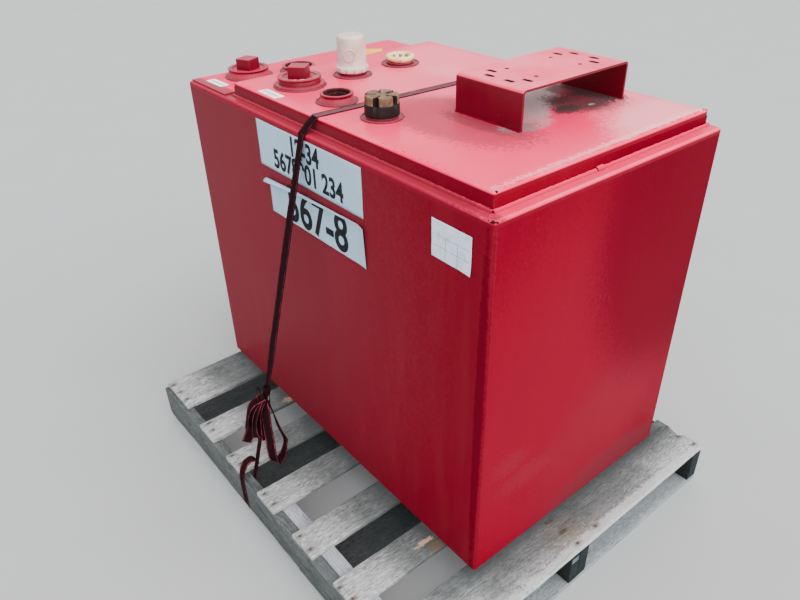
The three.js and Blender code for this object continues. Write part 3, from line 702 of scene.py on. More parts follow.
# A flat ribbon: each station is a place and the direction of the ribbon's width there
def ribbonMesh(stations, width):
    bm = bmesh.new()
    layer = bm.loops.layers.uv.new("UVMap")
    bmesh.ops.create_grid(bm, x_segments=len(stations) - 1, y_segments=4, size=0.5)
    rows = sorted({round(vert.co.x, 5) for vert in bm.verts})
    rowOf = {row: index for index, row in enumerate(rows)}
    lengths = [0.0]
    for before, after in zip(stations, stations[1:]):
        lengths.append(lengths[-1] + (after[0] - before[0]).length)
    for face in bm.faces:
        for loop in face.loops:
            row = rowOf[round(loop.vert.co.x, 5)]
            loop[layer].uv = (lengths[row], loop.vert.co.y * width * mm)
    for vert in bm.verts:
        place, side = stations[rowOf[round(vert.co.x, 5)]]
        vert.co = place + side * (vert.co.y * width * mm)
    return bm


def squared(places, sides):
    stations = []
    for index, place in enumerate(places):
        before = places[max(index - 1, 0)]
        after = places[min(index + 1, len(places) - 1)]
        along = (after - before).normalized()
        side = sides[index] - along * sides[index].dot(along)
        stations.append((place, side.normalized()))
    return stations


strap = {"width": 25, "thickness": 1.5, "step": 12}


def makeRibbon(name, stations, material, nodes, width=strap["width"], thickness=strap["thickness"]):
    piece = finishPiece(name, ribbonMesh(stations, width), [material], nodes, 60.0, recalc=False)
    thicken(piece, "webbingThickness", thickness)
    return piece


# A weld bead: a ring swept along a line in millimetres, lumpy as a hand weld
def addBead(bm, line, radius, seed, rough, slot=0):
    places = [at(*point) for point in line]
    ring = None
    for index, place in enumerate(places):
        along = (places[min(index + 1, len(places) - 1)] - places[max(index - 1, 0)]).normalized()
        flat = along.cross(Vector((0, 0, 1)))
        flat = flat.normalized() if flat.length > 0.1 else Vector((1, 0, 0))
        turn = Matrix((flat, flat.cross(along), along)).transposed().to_4x4()
        lump = noise.noise(place * 140 + Vector((seed, 0, 0)))
        lump += 0.8 * noise.noise(place * 420 + Vector((0, seed, 0)))
        here = Matrix.Translation(place) @ turn @ Matrix.Scale(radius * mm * (1 + rough * lump), 4)
        if ring:
            verts, faces, ring = drawOut(bm, ring)
            bmesh.ops.transform(bm, matrix=here @ before.inverted(), verts=verts)
            for face in faces:
                face.material_index = slot
        else:
            ring = startRing(bm, 8, 1.0, here)
        before = here
    bmesh.ops.edgeloop_fill(bm, edges=ring)


def ringLine(x, y, z, radius, step=3.0):
    count = int(2 * math.pi * radius / step)
    angles = [2 * math.pi * index / count for index in range(count + 1)]
    return [(x + radius * math.cos(angle), y + radius * math.sin(angle), z) for angle in angles]


def straightLine(start, end, step=3.0):
    start, end = Vector(start), Vector(end)
    count = max(int((end - start).length / step), 1)
    return [start.lerp(end, index / count) for index in range(count + 1)]


# A turned mesh: the profile is [radius, height] in millimetres, closed or on the axis
def addTurned(bm, profile, x, y, z, steps, closed=False):
    verts = [bm.verts.new(at(x + radius, y, z + height)) for radius, height in profile]
    pairs = list(zip(verts, verts[1:])) + ([(verts[-1], verts[0])] if closed else [])
    edges = [bm.edges.new(pair) for pair in pairs]
    bmesh.ops.spin(bm, geom=verts + edges, cent=at(x, y, z), axis=(0, 0, 1), angle=2 * math.pi, steps=steps,
                   use_merge=True, use_normal_flip=False, use_duplicate=False)
    bmesh.ops.remove_doubles(bm, verts=bm.verts, dist=1e-6)


# How a point lies from an upright axis: its way out from it, its height in millimetres and its angle
def fromAxis(point, centre):
    away = point - centre
    return Vector((away.x, away.y, 0)), away.z / mm, math.atan2(away.y, away.x)


# Timber
plank = {"round": 1.6, "step": 22, "crossStep": 20, "wobble": 1.0, "endWobble": 1.0, "endReach": 0.012,
         "sideReach": 0.010, "wide": 14, "tight": 70, "seed": 7}
nail = {"radius": 3.6, "topRadius": 3.2, "height": 1.2, "dent": 0.9, "stainAcross": 0.0042, "stainAlong": 0.0085,
        "cutsAcross": (-9, -4, 4, 9), "cutsAlong": (-16, -6, 6, 16)}
nails = {  # where each deck board is nailed
    "deck_board_1": [(-513, -590), (-469, -587), (-424, -585), (-490, -90), (-430, -86), (-488, 394), (-428, 391)],
    "deck_board_2": [(-283, -584), (-247, -587), (-275, -88), (-231, -90), (-278, 392), (-230, 395)],
    "deck_board_3": [(-121, -592), (-78, -589), (-118, -86), (-70, -90), (-117, 390), (-66, 394)],
    "deck_board_4": [(56, -594), (101, -593), (58, -87), (103, -92), (60, 393), (104, 391)],
    "deck_board_5": [(228, -596), (276, -597), (231, -88), (279, -90), (229, 391), (277, 394)],
    "deck_board_6": [(405, -603), (446, -596), (402, -89), (449, -87), (403, 392), (451, 394)],
    "deck_board_7": [(583, -105), (624, -102), (669, -102), (665, -29), (580, 399), (620, 396), (665, 401),
                     (575, -592), (622, -596), (664, -590)],
}


def makePlank(node, alongY, material):
    low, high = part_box(node)
    sized = [(high[axis] - low[axis]) / mm for axis in range(3)]
    offset = [(low[axis] - at(0, 0, 0)[axis]) / mm for axis in range(3)]
    bm = cadCopy(node)
    long, cross = (1, 0) if alongY else (0, 1)
    roundEdges(bm, [edge for edge in bm.edges if edge.calc_face_angle(0) > 0.5], plank["round"], 2)
    for axis, step in ((long, plank["step"]), (cross, plank["crossStep"])):
        cutRows(bm, axis, spaced(offset[axis], offset[axis] + sized[axis], step))
    marks = nails.get(node, [])
    for x, y in marks:
        cutRows(bm, 0, [x + gap for gap in nail["cutsAcross"]])
        cutRows(bm, 1, [y + gap for gap in nail["cutsAlong"]])
    for vert in bm.verts:
        wave = noise.noise_vector(vert.co * plank["wide"])
        fine = noise.noise_vector(vert.co * plank["tight"])
        atEnd = fade(vert.co[long], low[long], high[long], plank["endReach"])
        atSide = fade(vert.co[cross], low[cross], high[cross], plank["sideReach"])
        vert.co[cross] += (1 - atSide) * (wave[cross] * plank["wobble"] + fine[cross] * 0.7) * mm
        vert.co[long] += (1 - atEnd) * (fine[long] * plank["endWobble"] + wave[long]) * mm
        vert.co.z += (wave[2] * 0.4 + fine[2] * 0.15) * mm
    layer = bm.verts.layers.float.new("nailStain")
    for vert in bm.verts:
        stain = 0.0
        for x, y in marks:
            gap = vert.co - at(x, y, deckTop)
            if abs(gap.z) < 6 * mm:
                across = gap.x / (nail["stainAcross"] * (1 if alongY else 2))
                down = gap.y / nail["stainAlong"]
                stain = max(stain, math.exp(-(across * across + down * down) * 0.5))
        vert[layer] = stain
        if stain > 0.3:
            vert.co.z -= nail["dent"] * mm * stain
    for x, y in marks:
        made = bmesh.ops.create_cone(
            bm, cap_ends=True, segments=10, radius1=nail["radius"] * mm, radius2=nail["topRadius"] * mm,
            depth=nail["height"] * mm, matrix=Matrix.Translation(at(x, y, deckTop - nail["dent"])))
        setSlotOf(made["verts"], 1)
    finishPiece(node + "_plank", bm, [material, nailSteel], [node], 40.0)


noise.seed_set(plank["seed"])  # without it the boards' waves differ from run to run
for number in range(1, 8):
    makePlank(f"deck_board_{number}", True, boardTimber)
for number in range(1, 5):
    makePlank(f"bottom_board_{number}", True, edgeTimber if number == 4 else lowTimber)
for name, material in (("front", stringerTimber), ("front_companion", freshTimber), ("middle", innerTimber),
                       ("middle_companion", innerTimber), ("back", innerTimber)):
    makePlank("stringer_" + name, False, material)
print("pallet ready")


# Sheet steel: a merged copy of the CAD sheet, cut to a grid and pressed into slight waves.
# A bead is its line, its radius, its seed and how rough it is.
sheetWave = {"step": 34, "reach": 0.10, "wide": 1.1, "tight": 0.35}


def makeSheet(node, material, axis, beads=(), wave=1.0, beadSkin=None, edgeHighlightSkin=None):
    low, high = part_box(node)
    bm = cadCopy(node)
    others = [side for side in range(3) if side != axis]
    for side in others:
        start = (low[side] - at(0, 0, 0)[side]) / mm
        end = (high[side] - at(0, 0, 0)[side]) / mm
        if end - start > 2 * sheetWave["step"]:
            cutRows(bm, side, spaced(start, end, sheetWave["step"]))
    for vert in bm.verts:
        share = wave
        for side in others:
            share *= fade(vert.co[side], low[side], high[side], sheetWave["reach"])
        flat = vert.co.copy()
        flat[axis] = low[axis]
        bulge = noise.noise(flat * 2.6) * sheetWave["wide"] + noise.noise(flat * 8.0) * sheetWave["tight"]
        vert.co[axis] += share * bulge * mm
    for bead in beads:
        addBead(bm, *bead, slot=1 if beadSkin else 0)
    skins = [skin for skin in (material, beadSkin, edgeHighlightSkin) if skin]
    if edgeHighlightSkin:  # the rounded edge all round the top, paler as a painted highlight
        for face in bm.faces:
            if face.material_index == 0 and -0.2 < face.normal.z < 0.97:
                face.material_index = len(skins) - 1
    return finishPiece(node + "_plate", bm, skins, [node], 30.0, recalc=False)


for node, side, seed in (("front_wall", 1, 3), ("back_wall", -1, 5)):
    corner = side * (tank["halfLength"] - 1.5), side * -336
    makeSheet(node, redPaint, 1, [(straightLine((*corner, 130), (*corner, 987)), 3.0, seed, 0.5)])
makeSheet("left_end_wall", redPaint, 0)
makeSheet("right_end_wall", redEnd, 0)
makeSheet("outer_bottom", redPaint, 2, wave=0.0)
makeSheet("outer_lid", redLid, 2, wave=0.0, edgeHighlightSkin=redEdgeHighlight)
makeSheet("ledge_cover_plate", redLid, 2, wave=0.3)
makeSheet("primary_top", redTop, 2, wave=0.6, edgeHighlightSkin=redEdgeHighlight, beads=[
    (straightLine((528.5, -302, 1032.9), (527.5, 305, 1032.9), 4), 2.1, 21, 0.75),
    (straightLine((-346, -304, 1033.2), (500, -304, 1033.2)), 1.2, 23, 1.4),
    (straightLine((524, 322, 1032.5), (533, 328, 1032.5), 1.5), 3.6, 24, 0.6)])
foot = {"out": 3.5, "z": 1001.8, "radius": 4.4}
left, right = primary["left"] - foot["out"], primary["right"] + foot["out"]
front, back = primary["front"] - foot["out"], primary["back"] + foot["out"]
for node, skin, axis, start, end in (
    ("primary_front_wall", redPaint, 1, (left, front), (right, front)),
    ("primary_back_wall", redPaint, 1, (left, back), (right, back)),
    ("primary_left_wall", redPaint, 0, (left, front), (left, back)),
    ("primary_right_wall", redEnd, 0, (right, front), (right, back)),
):
    beads = [(straightLine((*start, foot["z"]), (*end, foot["z"])), foot["radius"], len(node), 0.22)]
    if skin == redEnd:  # one thick lump in the weld that the photo shows
        beads.append(([(right, front + (back - front) * share, foot["z"] + 1) for share in (0.415, 0.43, 0.445)],
                      6.5, 31, 0.5))
    makeSheet(node, skin, axis, beads, wave=0.0, beadSkin=redLid)
bracket = makeSheet("pump_bracket", redBracket, 2, wave=0.0, beadSkin=redEnd, beads=[
    (straightLine((180, y, 1034.6), (367, y, 1034.6)), 2.6, seed, 0.6) for y, seed in ((-69, 8), (266, 9))])
softEdges = bracket.modifiers.new("softEdges", "BEVEL")
softEdges.width = 0.7 * mm
softEdges.segments = 2
softEdges.limit_method = "ANGLE"
softEdges.angle_limit = math.radians(40)
softEdges.harden_normals = True
softEdges.use_clamp_overlap = True
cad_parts["primary_floor"].data.materials.clear()
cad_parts["primary_floor"].data.materials.append(rustySteel)
print("sheet steel ready")


# Fittings. Base, rim and bore are radii.
fittings = {
    "ledge_vent_flange": {"x": -487, "y": -203, "z": ledgeTop, "base": 62, "rim": 54, "bore": 44, "height": 23},
    "ledge_open_flange": {"x": -440, "y": -75, "z": ledgeTop, "base": 50, "rim": 45, "bore": 36, "height": 15,
                          "through": True},
    "fill_flange": {"x": -221, "y": -207, "z": primaryTop, "base": 62, "rim": 53, "bore": 44, "height": 24,
                    "tier": 8},
    "open_flange": {"x": -54, "y": -214, "z": primaryTop, "base": 47, "rim": 38, "bore": 30, "height": 20,
                    "through": True, "slot": "bare_steel"},
    "vent_cap_flange": {"x": -211, "y": -57, "z": primaryTop, "base": 47, "rim": 38, "bore": 28, "height": 11},
    "protector_flange": {"x": -215, "y": 101, "z": primaryTop, "base": 48, "rim": 37, "bore": 29, "height": 8},
    "lobed_cap_flange": {"x": 105, "y": -209, "z": primaryTop, "base": 45, "rim": 36, "bore": 26, "height": 6},
}
flange = {"thick": 5, "waist": 3.5, "round": 1.0, "thread": 1.4, "pitch": 2.2, "chamfer": 1.6}


def makeFlange(node, x, y, z, base, rim, bore, height, tier=0, through=False, slot="red_paint"):
    low = height - min(flange["thick"], height * 0.6)
    waist = rim - flange["waist"]
    profile = [(base, 0)]
    if tier:
        profile += [(base - 1, 2.5), (base - 1, tier - 1), (base - 2, tier), (rim - 2, tier + 0.5)]
    else:
        profile += [(base - 0.6, 1.2), (base - 2.4, 2.6)]
    profile += [
        (waist, max(low - 1.2, 2.2)), (waist - 0.5, max(low - 0.4, 2.4)), (rim - 1, low),
        (rim, low + flange["round"]), (rim, height - flange["round"]), (rim - flange["round"], height),
        (bore + flange["chamfer"], height), (bore, height - flange["chamfer"]),
    ]
    ridge = height - flange["chamfer"]
    while ridge - flange["pitch"] > 0.5:
        profile += [(bore - flange["thread"], ridge - flange["pitch"] / 2), (bore, ridge - flange["pitch"])]
        ridge -= flange["pitch"]
    if through:
        depth = height - 7
        profile = [point for point in profile if point[0] > bore + 1 or point[1] > depth + 1]
        profile += [(bore, depth), (bore - 5, depth - 0.6), (bore - 6, depth - 3), (bore - 6, 0)]
    else:
        profile += [(bore, 0)]
    bm = bmesh.new()
    addTurned(bm, profile, x, y, z, 72, closed=True)
    centre = at(x, y, z)
    for vert in bm.verts:
        away, up, _ = fromAxis(vert.co, centre)
        if away.length > (bore + 2) * mm:
            lump = noise.noise(vert.co * 55) * 0.8 + noise.noise(vert.co * 160) * 0.4
            vert.co += away.normalized() * lump * mm * (1.0 if up < 6 else 0.35)
    for face in bm.faces if through else ():  # the bore is bare steel; the waist under the rim gets the same dark steel as painted shade
        away, up, _ = fromAxis(face.calc_center_median(), centre)
        inBore = away.length / mm < bore + 1.2 and up < height - 0.6
        if inBore or (3 < up < low + 0.4 and away.length / mm < rim - 1.5):
            face.material_index = 1
    addBead(bm, ringLine(x, y, z + 1.2, base - 0.5), 2.6, x, 0.5)
    skin = redLedgeFitting if z == ledgeTop else redFitting
    finishPiece(node + "_ring", bm, [skin, rustySteel], [node], 50.0)


# The middle of a flange's rim
def onFlange(node):
    seat = fittings[node]
    return seat["x"], seat["y"], seat["z"] + seat["height"]


for node, seat in fittings.items():
    makeFlange(node, **seat)

plug = {"recess": 4, "depth": 26, "head": 45, "height": 28, "edge": 3.5, "top": 1.6}


def makePlug(node, seat, turn, skin, sealed):
    x, y, z = onFlange(seat)
    bore, low = fittings[seat]["bore"], -plug["recess"]
    reach = bore - 0.6
    bm = bmesh.new()
    addTurned(bm, [(0, low), (30, low), (33, low + 1.2), (reach - 4, low + 1.2), (reach - 3, low + 2.4),
                   (reach, low + 2.4), (reach, -plug["depth"]), (0, -plug["depth"])], x, y, z, 72)
    head = addBlock(bm, (x, y, z + low + plug["height"] / 2 - 1),
                    (plug["head"], plug["head"], plug["height"] + 2), turn)
    roundEdges(bm, uprightEdges(bm, head), plug["edge"])
    top = at(x, y, z + 22).z
    roundEdges(bm, [edge for edge in bm.edges if min(vert.co.z for vert in edge.verts) > top], plug["top"])
    if sealed:
        addBead(bm, ringLine(x, y, z - 0.8, bore - 0.6), 1.3, 4, 1.3, slot=1)
    else:
        addBead(bm, ringLine(x, y, z - 1.6, bore - 1.0), 1.8, 6, 0.7)
    finishPiece(node + "_casting", bm, [skin, sealant], [node], 40.0)


makePlug("ledge_vent_plug", "ledge_vent_flange", 23, redLedgeFitting, False)
makePlug("fill_plug", "fill_flange", 43, redFitting, True)

# Vent cap: a tall cup with faint flutes, a base ring with notches and a plain raised ring
vent = {"height": 88, "radius": 36, "skirt": 40.5, "skirtHeight": 14, "taper": 1, "dome": 8, "flutes": 36,
        "fluteDepth": 0.2, "ringTurn": -45, "ringHeight": 43, "ringRadius": 13.7}


def makeVentCap(height, radius, skirt, skirtHeight, taper, dome, flutes, fluteDepth, ringTurn, ringHeight,
                ringRadius):
    x, y, z = onFlange("vent_cap_flange")
    centre = at(x, y, z)
    shoulder, low = height - dome, skirtHeight + 1.5
    profile = [(0, 2.5), (skirt - 6, 2.5), (skirt - 5, 0.5), (skirt - 1, 0.5), (skirt, 1.5),
               (skirt, skirtHeight - 3), (skirt - 1, skirtHeight - 1.2), (radius + 1.2, skirtHeight),
               (radius + 0.2, low)]
    profile += [(radius - taper * share / 8, low + (shoulder - low) * share / 8) for share in range(1, 9)]
    for step in range(1, 7):
        angle = step / 6 * math.pi / 2
        profile.append((radius - taper - 6.5 * (1 - math.cos(angle)), shoulder + 6.6 * math.sin(angle)))
    profile += [(18, height - 0.9), (0, height - 0.4)]
    bm = bmesh.new()
    addTurned(bm, profile, x, y, z, 144)
    for vert in bm.verts:
        away, up, angle = fromAxis(vert.co, centre)
        if skirtHeight + 3 < up < shoulder - 2:
            vert.co += away.normalized() * math.cos(angle * flutes) * fluteDepth * mm
        if up < 6 and away.length > (skirt - 5) * mm and math.cos(angle * 12) > 0.85:
            vert.co -= away.normalized() * 3.0 * mm
    line = []
    for index in range(61):
        angle = index / 60 * 2 * math.pi
        side = math.radians(ringTurn) + ringRadius * math.cos(angle) / radius
        line.append((x + (radius - 0.9) * math.cos(side), y + (radius - 0.9) * math.sin(side),
                     z + ringHeight + ringRadius * math.sin(angle)))
    addBead(bm, line, 2.1, 2, 0.05)
    finishPiece("vent_cap_cup", bm, [whitePlastic], ["vent_cap"], 45.0)


makeVentCap(**vent)

protector = {"radius": 38, "hole": 26, "height": 16, "lobes": 9, "lobeDepth": 1.6}


def makeProtector(radius, hole, height, lobes, lobeDepth):
    x, y, z = onFlange("protector_flange")
    centre = at(x, y, z)
    middle, half = (radius + hole) / 2, (radius - hole) / 2
    profile = [(0, 3), (hole - 2, 3.4)]
    for step in range(9):
        angle = math.pi - step / 8 * math.pi * 1.15
        profile.append((middle + half * math.cos(angle), height - half + half * math.sin(angle)))
    profile += [(radius - 4, 3.0), (radius - 6, 1.0), (radius - 9, 0.3), (0, 0.3)]
    bm = bmesh.new()
    addTurned(bm, profile, x, y, z, 108)
    for vert in bm.verts:
        away, _, angle = fromAxis(vert.co, centre)
        if away.length >= (hole - 1) * mm:
            dip = max(0.0, math.cos(angle * lobes)) ** 3 * lobeDepth
            outside = 1.0 if away.length > middle * mm else -0.6
            vert.co -= away.normalized() * outside * dip * mm
            vert.co.z += (noise.noise(vert.co * 60) * 1.2 - dip * 0.8 * (vert.co.z > centre.z + 0.01)) * mm
    for face in bm.faces:
        if fromAxis(face.calc_center_median(), centre)[0].length < (hole - 1) * mm:
            face.material_index = 1
    finishPiece("thread_protector_ring", bm, [creamPlastic, dirtyPlastic], ["thread_protector"],
                60.0)


makeProtector(**protector)

lobed = {
    "notch": 11, "lobes": 5, "turn": 14, "skirt": 29,
    "rings": [  # height, radius, how deep the notches are there
        (0.5, 35.8, 0.0), (1.5, 37.2, 0.0), (3.0, 37.7, 0.0), (12.0, 37.8, 0.1), (20.0, 37.7, 0.3),
        (24.5, 37.5, 0.6), (26.0, 36.9, 1.0), (34.0, 36.7, 1.0), (40.0, 36.4, 1.0), (42.6, 35.8, 1.0),
        (43.8, 34.0, 1.0), (43.9, 29.0, 0.8), (43.0, 21.0, 0.3), (42.4, 11.0, 0.0),
    ],
}


def makeLobedCap(notch, lobes, turn, skirt, rings):
    x, y, z = onFlange("lobed_cap_flange")
    centre = at(x, y, z)
    bm = bmesh.new()
    ring = startRing(bm, 150, rings[0][1] * mm, Matrix.Translation(at(x, y, z + rings[0][0])))
    for height, radius, share in rings[1:]:
        verts, faces, ring = drawOut(bm, ring)
        for vert in verts:
            angle = fromAxis(vert.co, centre)[2]
            wave = max(0.0, math.cos(lobes * (angle - math.radians(turn)))) ** 5
            reach = (radius - notch * wave * share) * mm
            drop = wave * share * 1.2 - 1.4 * noise.noise(vert.co * 45) * (height > 40)
            vert.co = centre + Vector((reach * math.cos(angle), reach * math.sin(angle), (height - drop) * mm))
        for face in faces:
            angle = fromAxis(face.calc_center_median(), centre)[2] - math.radians(turn)
            notched = math.cos(lobes * angle) > 0.55 and 25 < height < 43.9
            face.material_index = 2 if notched else 1 if height > skirt else 0
    bmesh.ops.edgeloop_fill(bm, edges=ring, mat_nr=1)
    addTurned(bm, [(0, 0.8), (25, 0.8), (25, -10), (0, -10)], x, y, z, 32)
    finishPiece("lobed_cap_shell", bm, [blackPlastic, dustyPlastic, notchPlastic], ["lobed_cap"],
                50.0)


makeLobedCap(**lobed)
print("fittings ready")

# Stickers, thin plates set on the ledge and on the primary tank's top
stickers = {
    "ledge_sticker": {"place": (-481, -300, ledgeTop), "size": (78, 25), "turn": 1},
    "top_sticker": {"place": (-207, -296, primaryTop), "size": (80, 26), "turn": -1},
    "yellow_sticker": {"place": (-464, 201, ledgeTop), "size": (74, 51), "turn": -38, "skin": stickerYellow,
                       "line": False},
}


def makeSticker(name, place, size, turn, skin=stickerWhite, line=True):
    x, y, z = place
    wide, deep = size
    bm = bmesh.new()
    roundEdges(bm, uprightEdges(bm, addBlock(bm, (x, y, z + 0.3), (wide, deep, 0.7), turn)), 2)
    if line:
        setSlotOf(addBlock(bm, (x, y, z + 0.5), (wide * 0.8, deep * 0.16, 0.5), turn), 1)
    finishPiece(name, bm, [skin, stickerLine], [])


for name, given in stickers.items():
    makeSticker(name, **given)


# Signs. Each sheet is a grid laid on the front wall; the lower one has come away at its top.
signs = {
    "upper_sign": {"left": -207, "right": 207, "low": 876, "high": 988},
    "lower_sign": {"left": -176, "right": 211, "low": 761, "high": 866},
    "paper_tag": {"left": 417, "right": 520, "low": 881, "high": 958},
}
wallFront = -tank["halfWidth"] - 0.9
curl = {"radius": 6.5, "from": 0.80, "right": 0.94}


def makeSignSheet(node, material, shape, columns, rows, thickness=0.35):
    bm = bmesh.new()
    layer = bm.loops.layers.uv.new("UVMap")
    bmesh.ops.create_grid(bm, x_segments=columns, y_segments=rows, size=0.5)
    for face in bm.faces:
        for loop in face.loops:
            loop[layer].uv = (loop.vert.co.x + 0.5, loop.vert.co.y + 0.5)
    for vert in bm.verts:
        vert.co = at(*shape(vert.co.x + 0.5, vert.co.y + 0.5, **signs[node]))
    thicken(finishPiece(node + "_sheet", bm, [material], [node], 60.0, recalc=False),
            "filmThickness", thickness)


def flatSheet(across, up, left, right, low, high):
    lift = 0.35 * noise.noise(Vector((across * 6, up * 3, 1.5))) + 0.2
    return left + across * (right - left), wallFront - max(lift, 0.0), low + up * (high - low)


def peeledSheet(across, up, left, right, low, high):
    height = high - low
    x, y, z = left + across * (right - left), wallFront - 0.3, low + up * height
    start = curl["from"] - 0.10 * max(0.0, 0.35 - across) + 0.1 * across  # the roll starts lower at the left
    over = (up - start) * height
    if over > 0:
        radius = curl["radius"] * (1.15 - 0.35 * across)
        angle = min(over / radius, 5.6)
        x -= 14 * max(0.0, 0.3 - across) * min(over / 12, 1.0)
        y -= radius * (1 - math.cos(angle))
        z = low + start * height + radius * math.sin(angle)
    if across > curl["right"]:
        y -= (across - curl["right"]) / (1 - curl["right"]) * 5.0 * (0.4 + up)
    if up < 0.12:
        y -= (0.12 - up) * 10 * abs(noise.noise(Vector((across * 9, 0, 4))))
    return x, y, z


def wrinkledSheet(across, up, left, right, low, high):
    lift = 0.7 * noise.noise(Vector((across * 5, up * 4, 7.0)))
    lift += 0.4 * noise.noise(Vector((across * 14, up * 12, 2.0)))
    corner = max(0.0, across + (1 - up) - 1.75) * 9
    return (left + across * (right - left), wallFront - 0.3 - max(lift + 0.3, 0.0) - corner,
            low + up * (high - low) - (across - 0.5) * 1.5)


makeSignSheet("upper_sign", signVinyl, flatSheet, 60, 16)
makeSignSheet("lower_sign", signVinyl, peeledSheet, 80, 64)
makeSignSheet("paper_tag", ruledPaper, wrinkledSheet, 40, 30, 0.25)

# Plain digits stand where the signs carry words
digits = [
    {"text": "12-34", "size": 47, "place": (-5, 938), "squeeze": 0.82, "bold": 0.0017},
    {"text": "5678901 234", "size": 47, "place": (0, 888), "squeeze": 0.84, "bold": 0.0017},
    {"text": "567-8", "size": 92, "place": (24, 770), "squeeze": 0.86, "bold": 0.0026},
]


def makeDigits(index, text, size, place, squeeze, bold):
    curve = bpy.data.curves.new(f"digits_{index}", "FONT")
    curve.body = text
    curve.align_x = "CENTER"
    curve.size = size * mm * 1.35  # a digit is as tall as its size over 1.35
    curve.offset = bold
    curve.extrude = 0.0001
    lettering = addObject(f"digits_{index}_curve", curve)
    bpy.context.view_layer.update()
    mesh = bpy.data.meshes.new_from_object(lettering.evaluated_get(bpy.context.evaluated_depsgraph_get()))
    bpy.data.objects.remove(lettering)
    x, z = place
    upright = Matrix.Translation(at(x, wallFront - 0.95, z)) @ Matrix.Rotation(math.pi / 2, 4, "X")
    mesh.transform(upright @ Matrix.Diagonal((squeeze, 1, 1, 1)))
    mesh.materials.clear()
    mesh.materials.append(signInk)
    piece = addObject(f"sign_digits_{index}", mesh)
    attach(piece, "root")


for index, given in enumerate(digits, 1):
    makeDigits(index, **given)
print("signs ready")


# Strap. The taut line runs over round corners, as in the part's own route.
corners = [  # x, y, z and the radius that the strap turns with
    (-25, -579.75, 102, 0), (-7, -337, 995, 7.3), (4, -309, 1029, 6.3),
    (40, 325, 1029, 6.3), (40, 337, 995, 7.3), (52, 412, 121, 0),
]


def leaving(start, end):
    _, y, z, radius = [after - before for before, after in zip(start, end)]
    return math.atan2(z, y) + math.acos(-radius / math.hypot(y, z))


def tautArcs(corners, steps=8):
    arcs = [[corners[0][:3]]]
    for before, corner, after in zip(corners, corners[1:], corners[2:]):
        x, y, z, radius = corner
        first, last = leaving(before, corner), leaving(corner, after)
        turned = [first + (last - first) * step / steps for step in range(steps + 1)]
        arcs.append([(x, y + radius * math.cos(angle), z + radius * math.sin(angle)) for angle in turned])
    return arcs + [[corners[-1][:3]]]


def joined(first, *others):
    line = list(first)
    for arc in others:
        line += straightLine(line[-1], arc[0], strap["step"])[1:-1] + arc
    return line


def flatStations(line, flutter=0.0):
    places = [at(*point) for point in line]
    tilts = [flutter * noise.noise(place * 3) for place in places]
    return squared(places, [Vector((math.cos(tilt), math.sin(tilt), 0)) for tilt in tilts])


gather = {"foot": 0.42, "knot": 0.66, "low": 345, "high": 400, "open": 470, "turn": 60}


# The knot gathers the taut strap, which hangs folded below it
def gathered(stations):
    made = []
    for place, side in stations:
        height = place.z / mm
        folded = min(max((gather["low"] - height) / 60, 0.0), 1.0)
        opened = min(max((height - gather["high"]) / (gather["open"] - gather["high"]), 0.0), 1.0)
        width = gather["knot"] + (1 - gather["knot"]) * opened + (gather["foot"] - gather["knot"]) * folded
        along = Vector((0, 0.255, 0.967))
        turn = Matrix.Rotation(math.radians(gather["turn"] * folded * min((height - 95) / 60, 1.0)), 3, along)
        made.append((place, (turn @ side) * width))
    return made


arcs = tautArcs(corners)
frontRun = joined(arcs[0], arcs[1][:1])
topRun = joined(*arcs[1:5])
backRun = joined(arcs[4][-1:], arcs[5])
frontLoop = [
    (-25, -581.2, 104), (-25, -581.2, 60), (-25, -581.2, 20), (-25, -586, 11.8), (-26, -597, 11.6), (-28, -608, 11.8),
    (-30, -612.4, 20), (-31, -612.9, 60), (-31, -613, 100), (-31, -611.5, 126), (-31, -606, 145), (-30, -599, 159),
    (-30, -591, 166), (-30, -580, 168), (-29, -570, 165), (-27, -563, 154),
]
backLoop = [
    (22, 399, 205), (22, 385, 160), (22, 373.2, 122), (22, 372.8, 60), (22, 373, 20), (26, 380, 11.8),
    (38, 393, 11.6), (48, 407, 11.8), (52, 412, 20), (52, 412.2, 60), (52, 412.3, 110), (52, 412.6, 123),
]
for name, stations, skin in (
    ("front", gathered(flatStations(frontRun, 0.25)), strapWebbing),
    ("top", flatStations(topRun), topWebbing),
    ("back", flatStations(backRun), strapWebbing),
    ("front_loop", flatStations(smoothLine(frontLoop, 6)), hankWebbing),
    ("back_loop", flatStations(smoothLine(backLoop, 6)), strapWebbing),
):
    makeRibbon(f"strap_{name}_ribbon", stations, skin, ["strap_" + name])

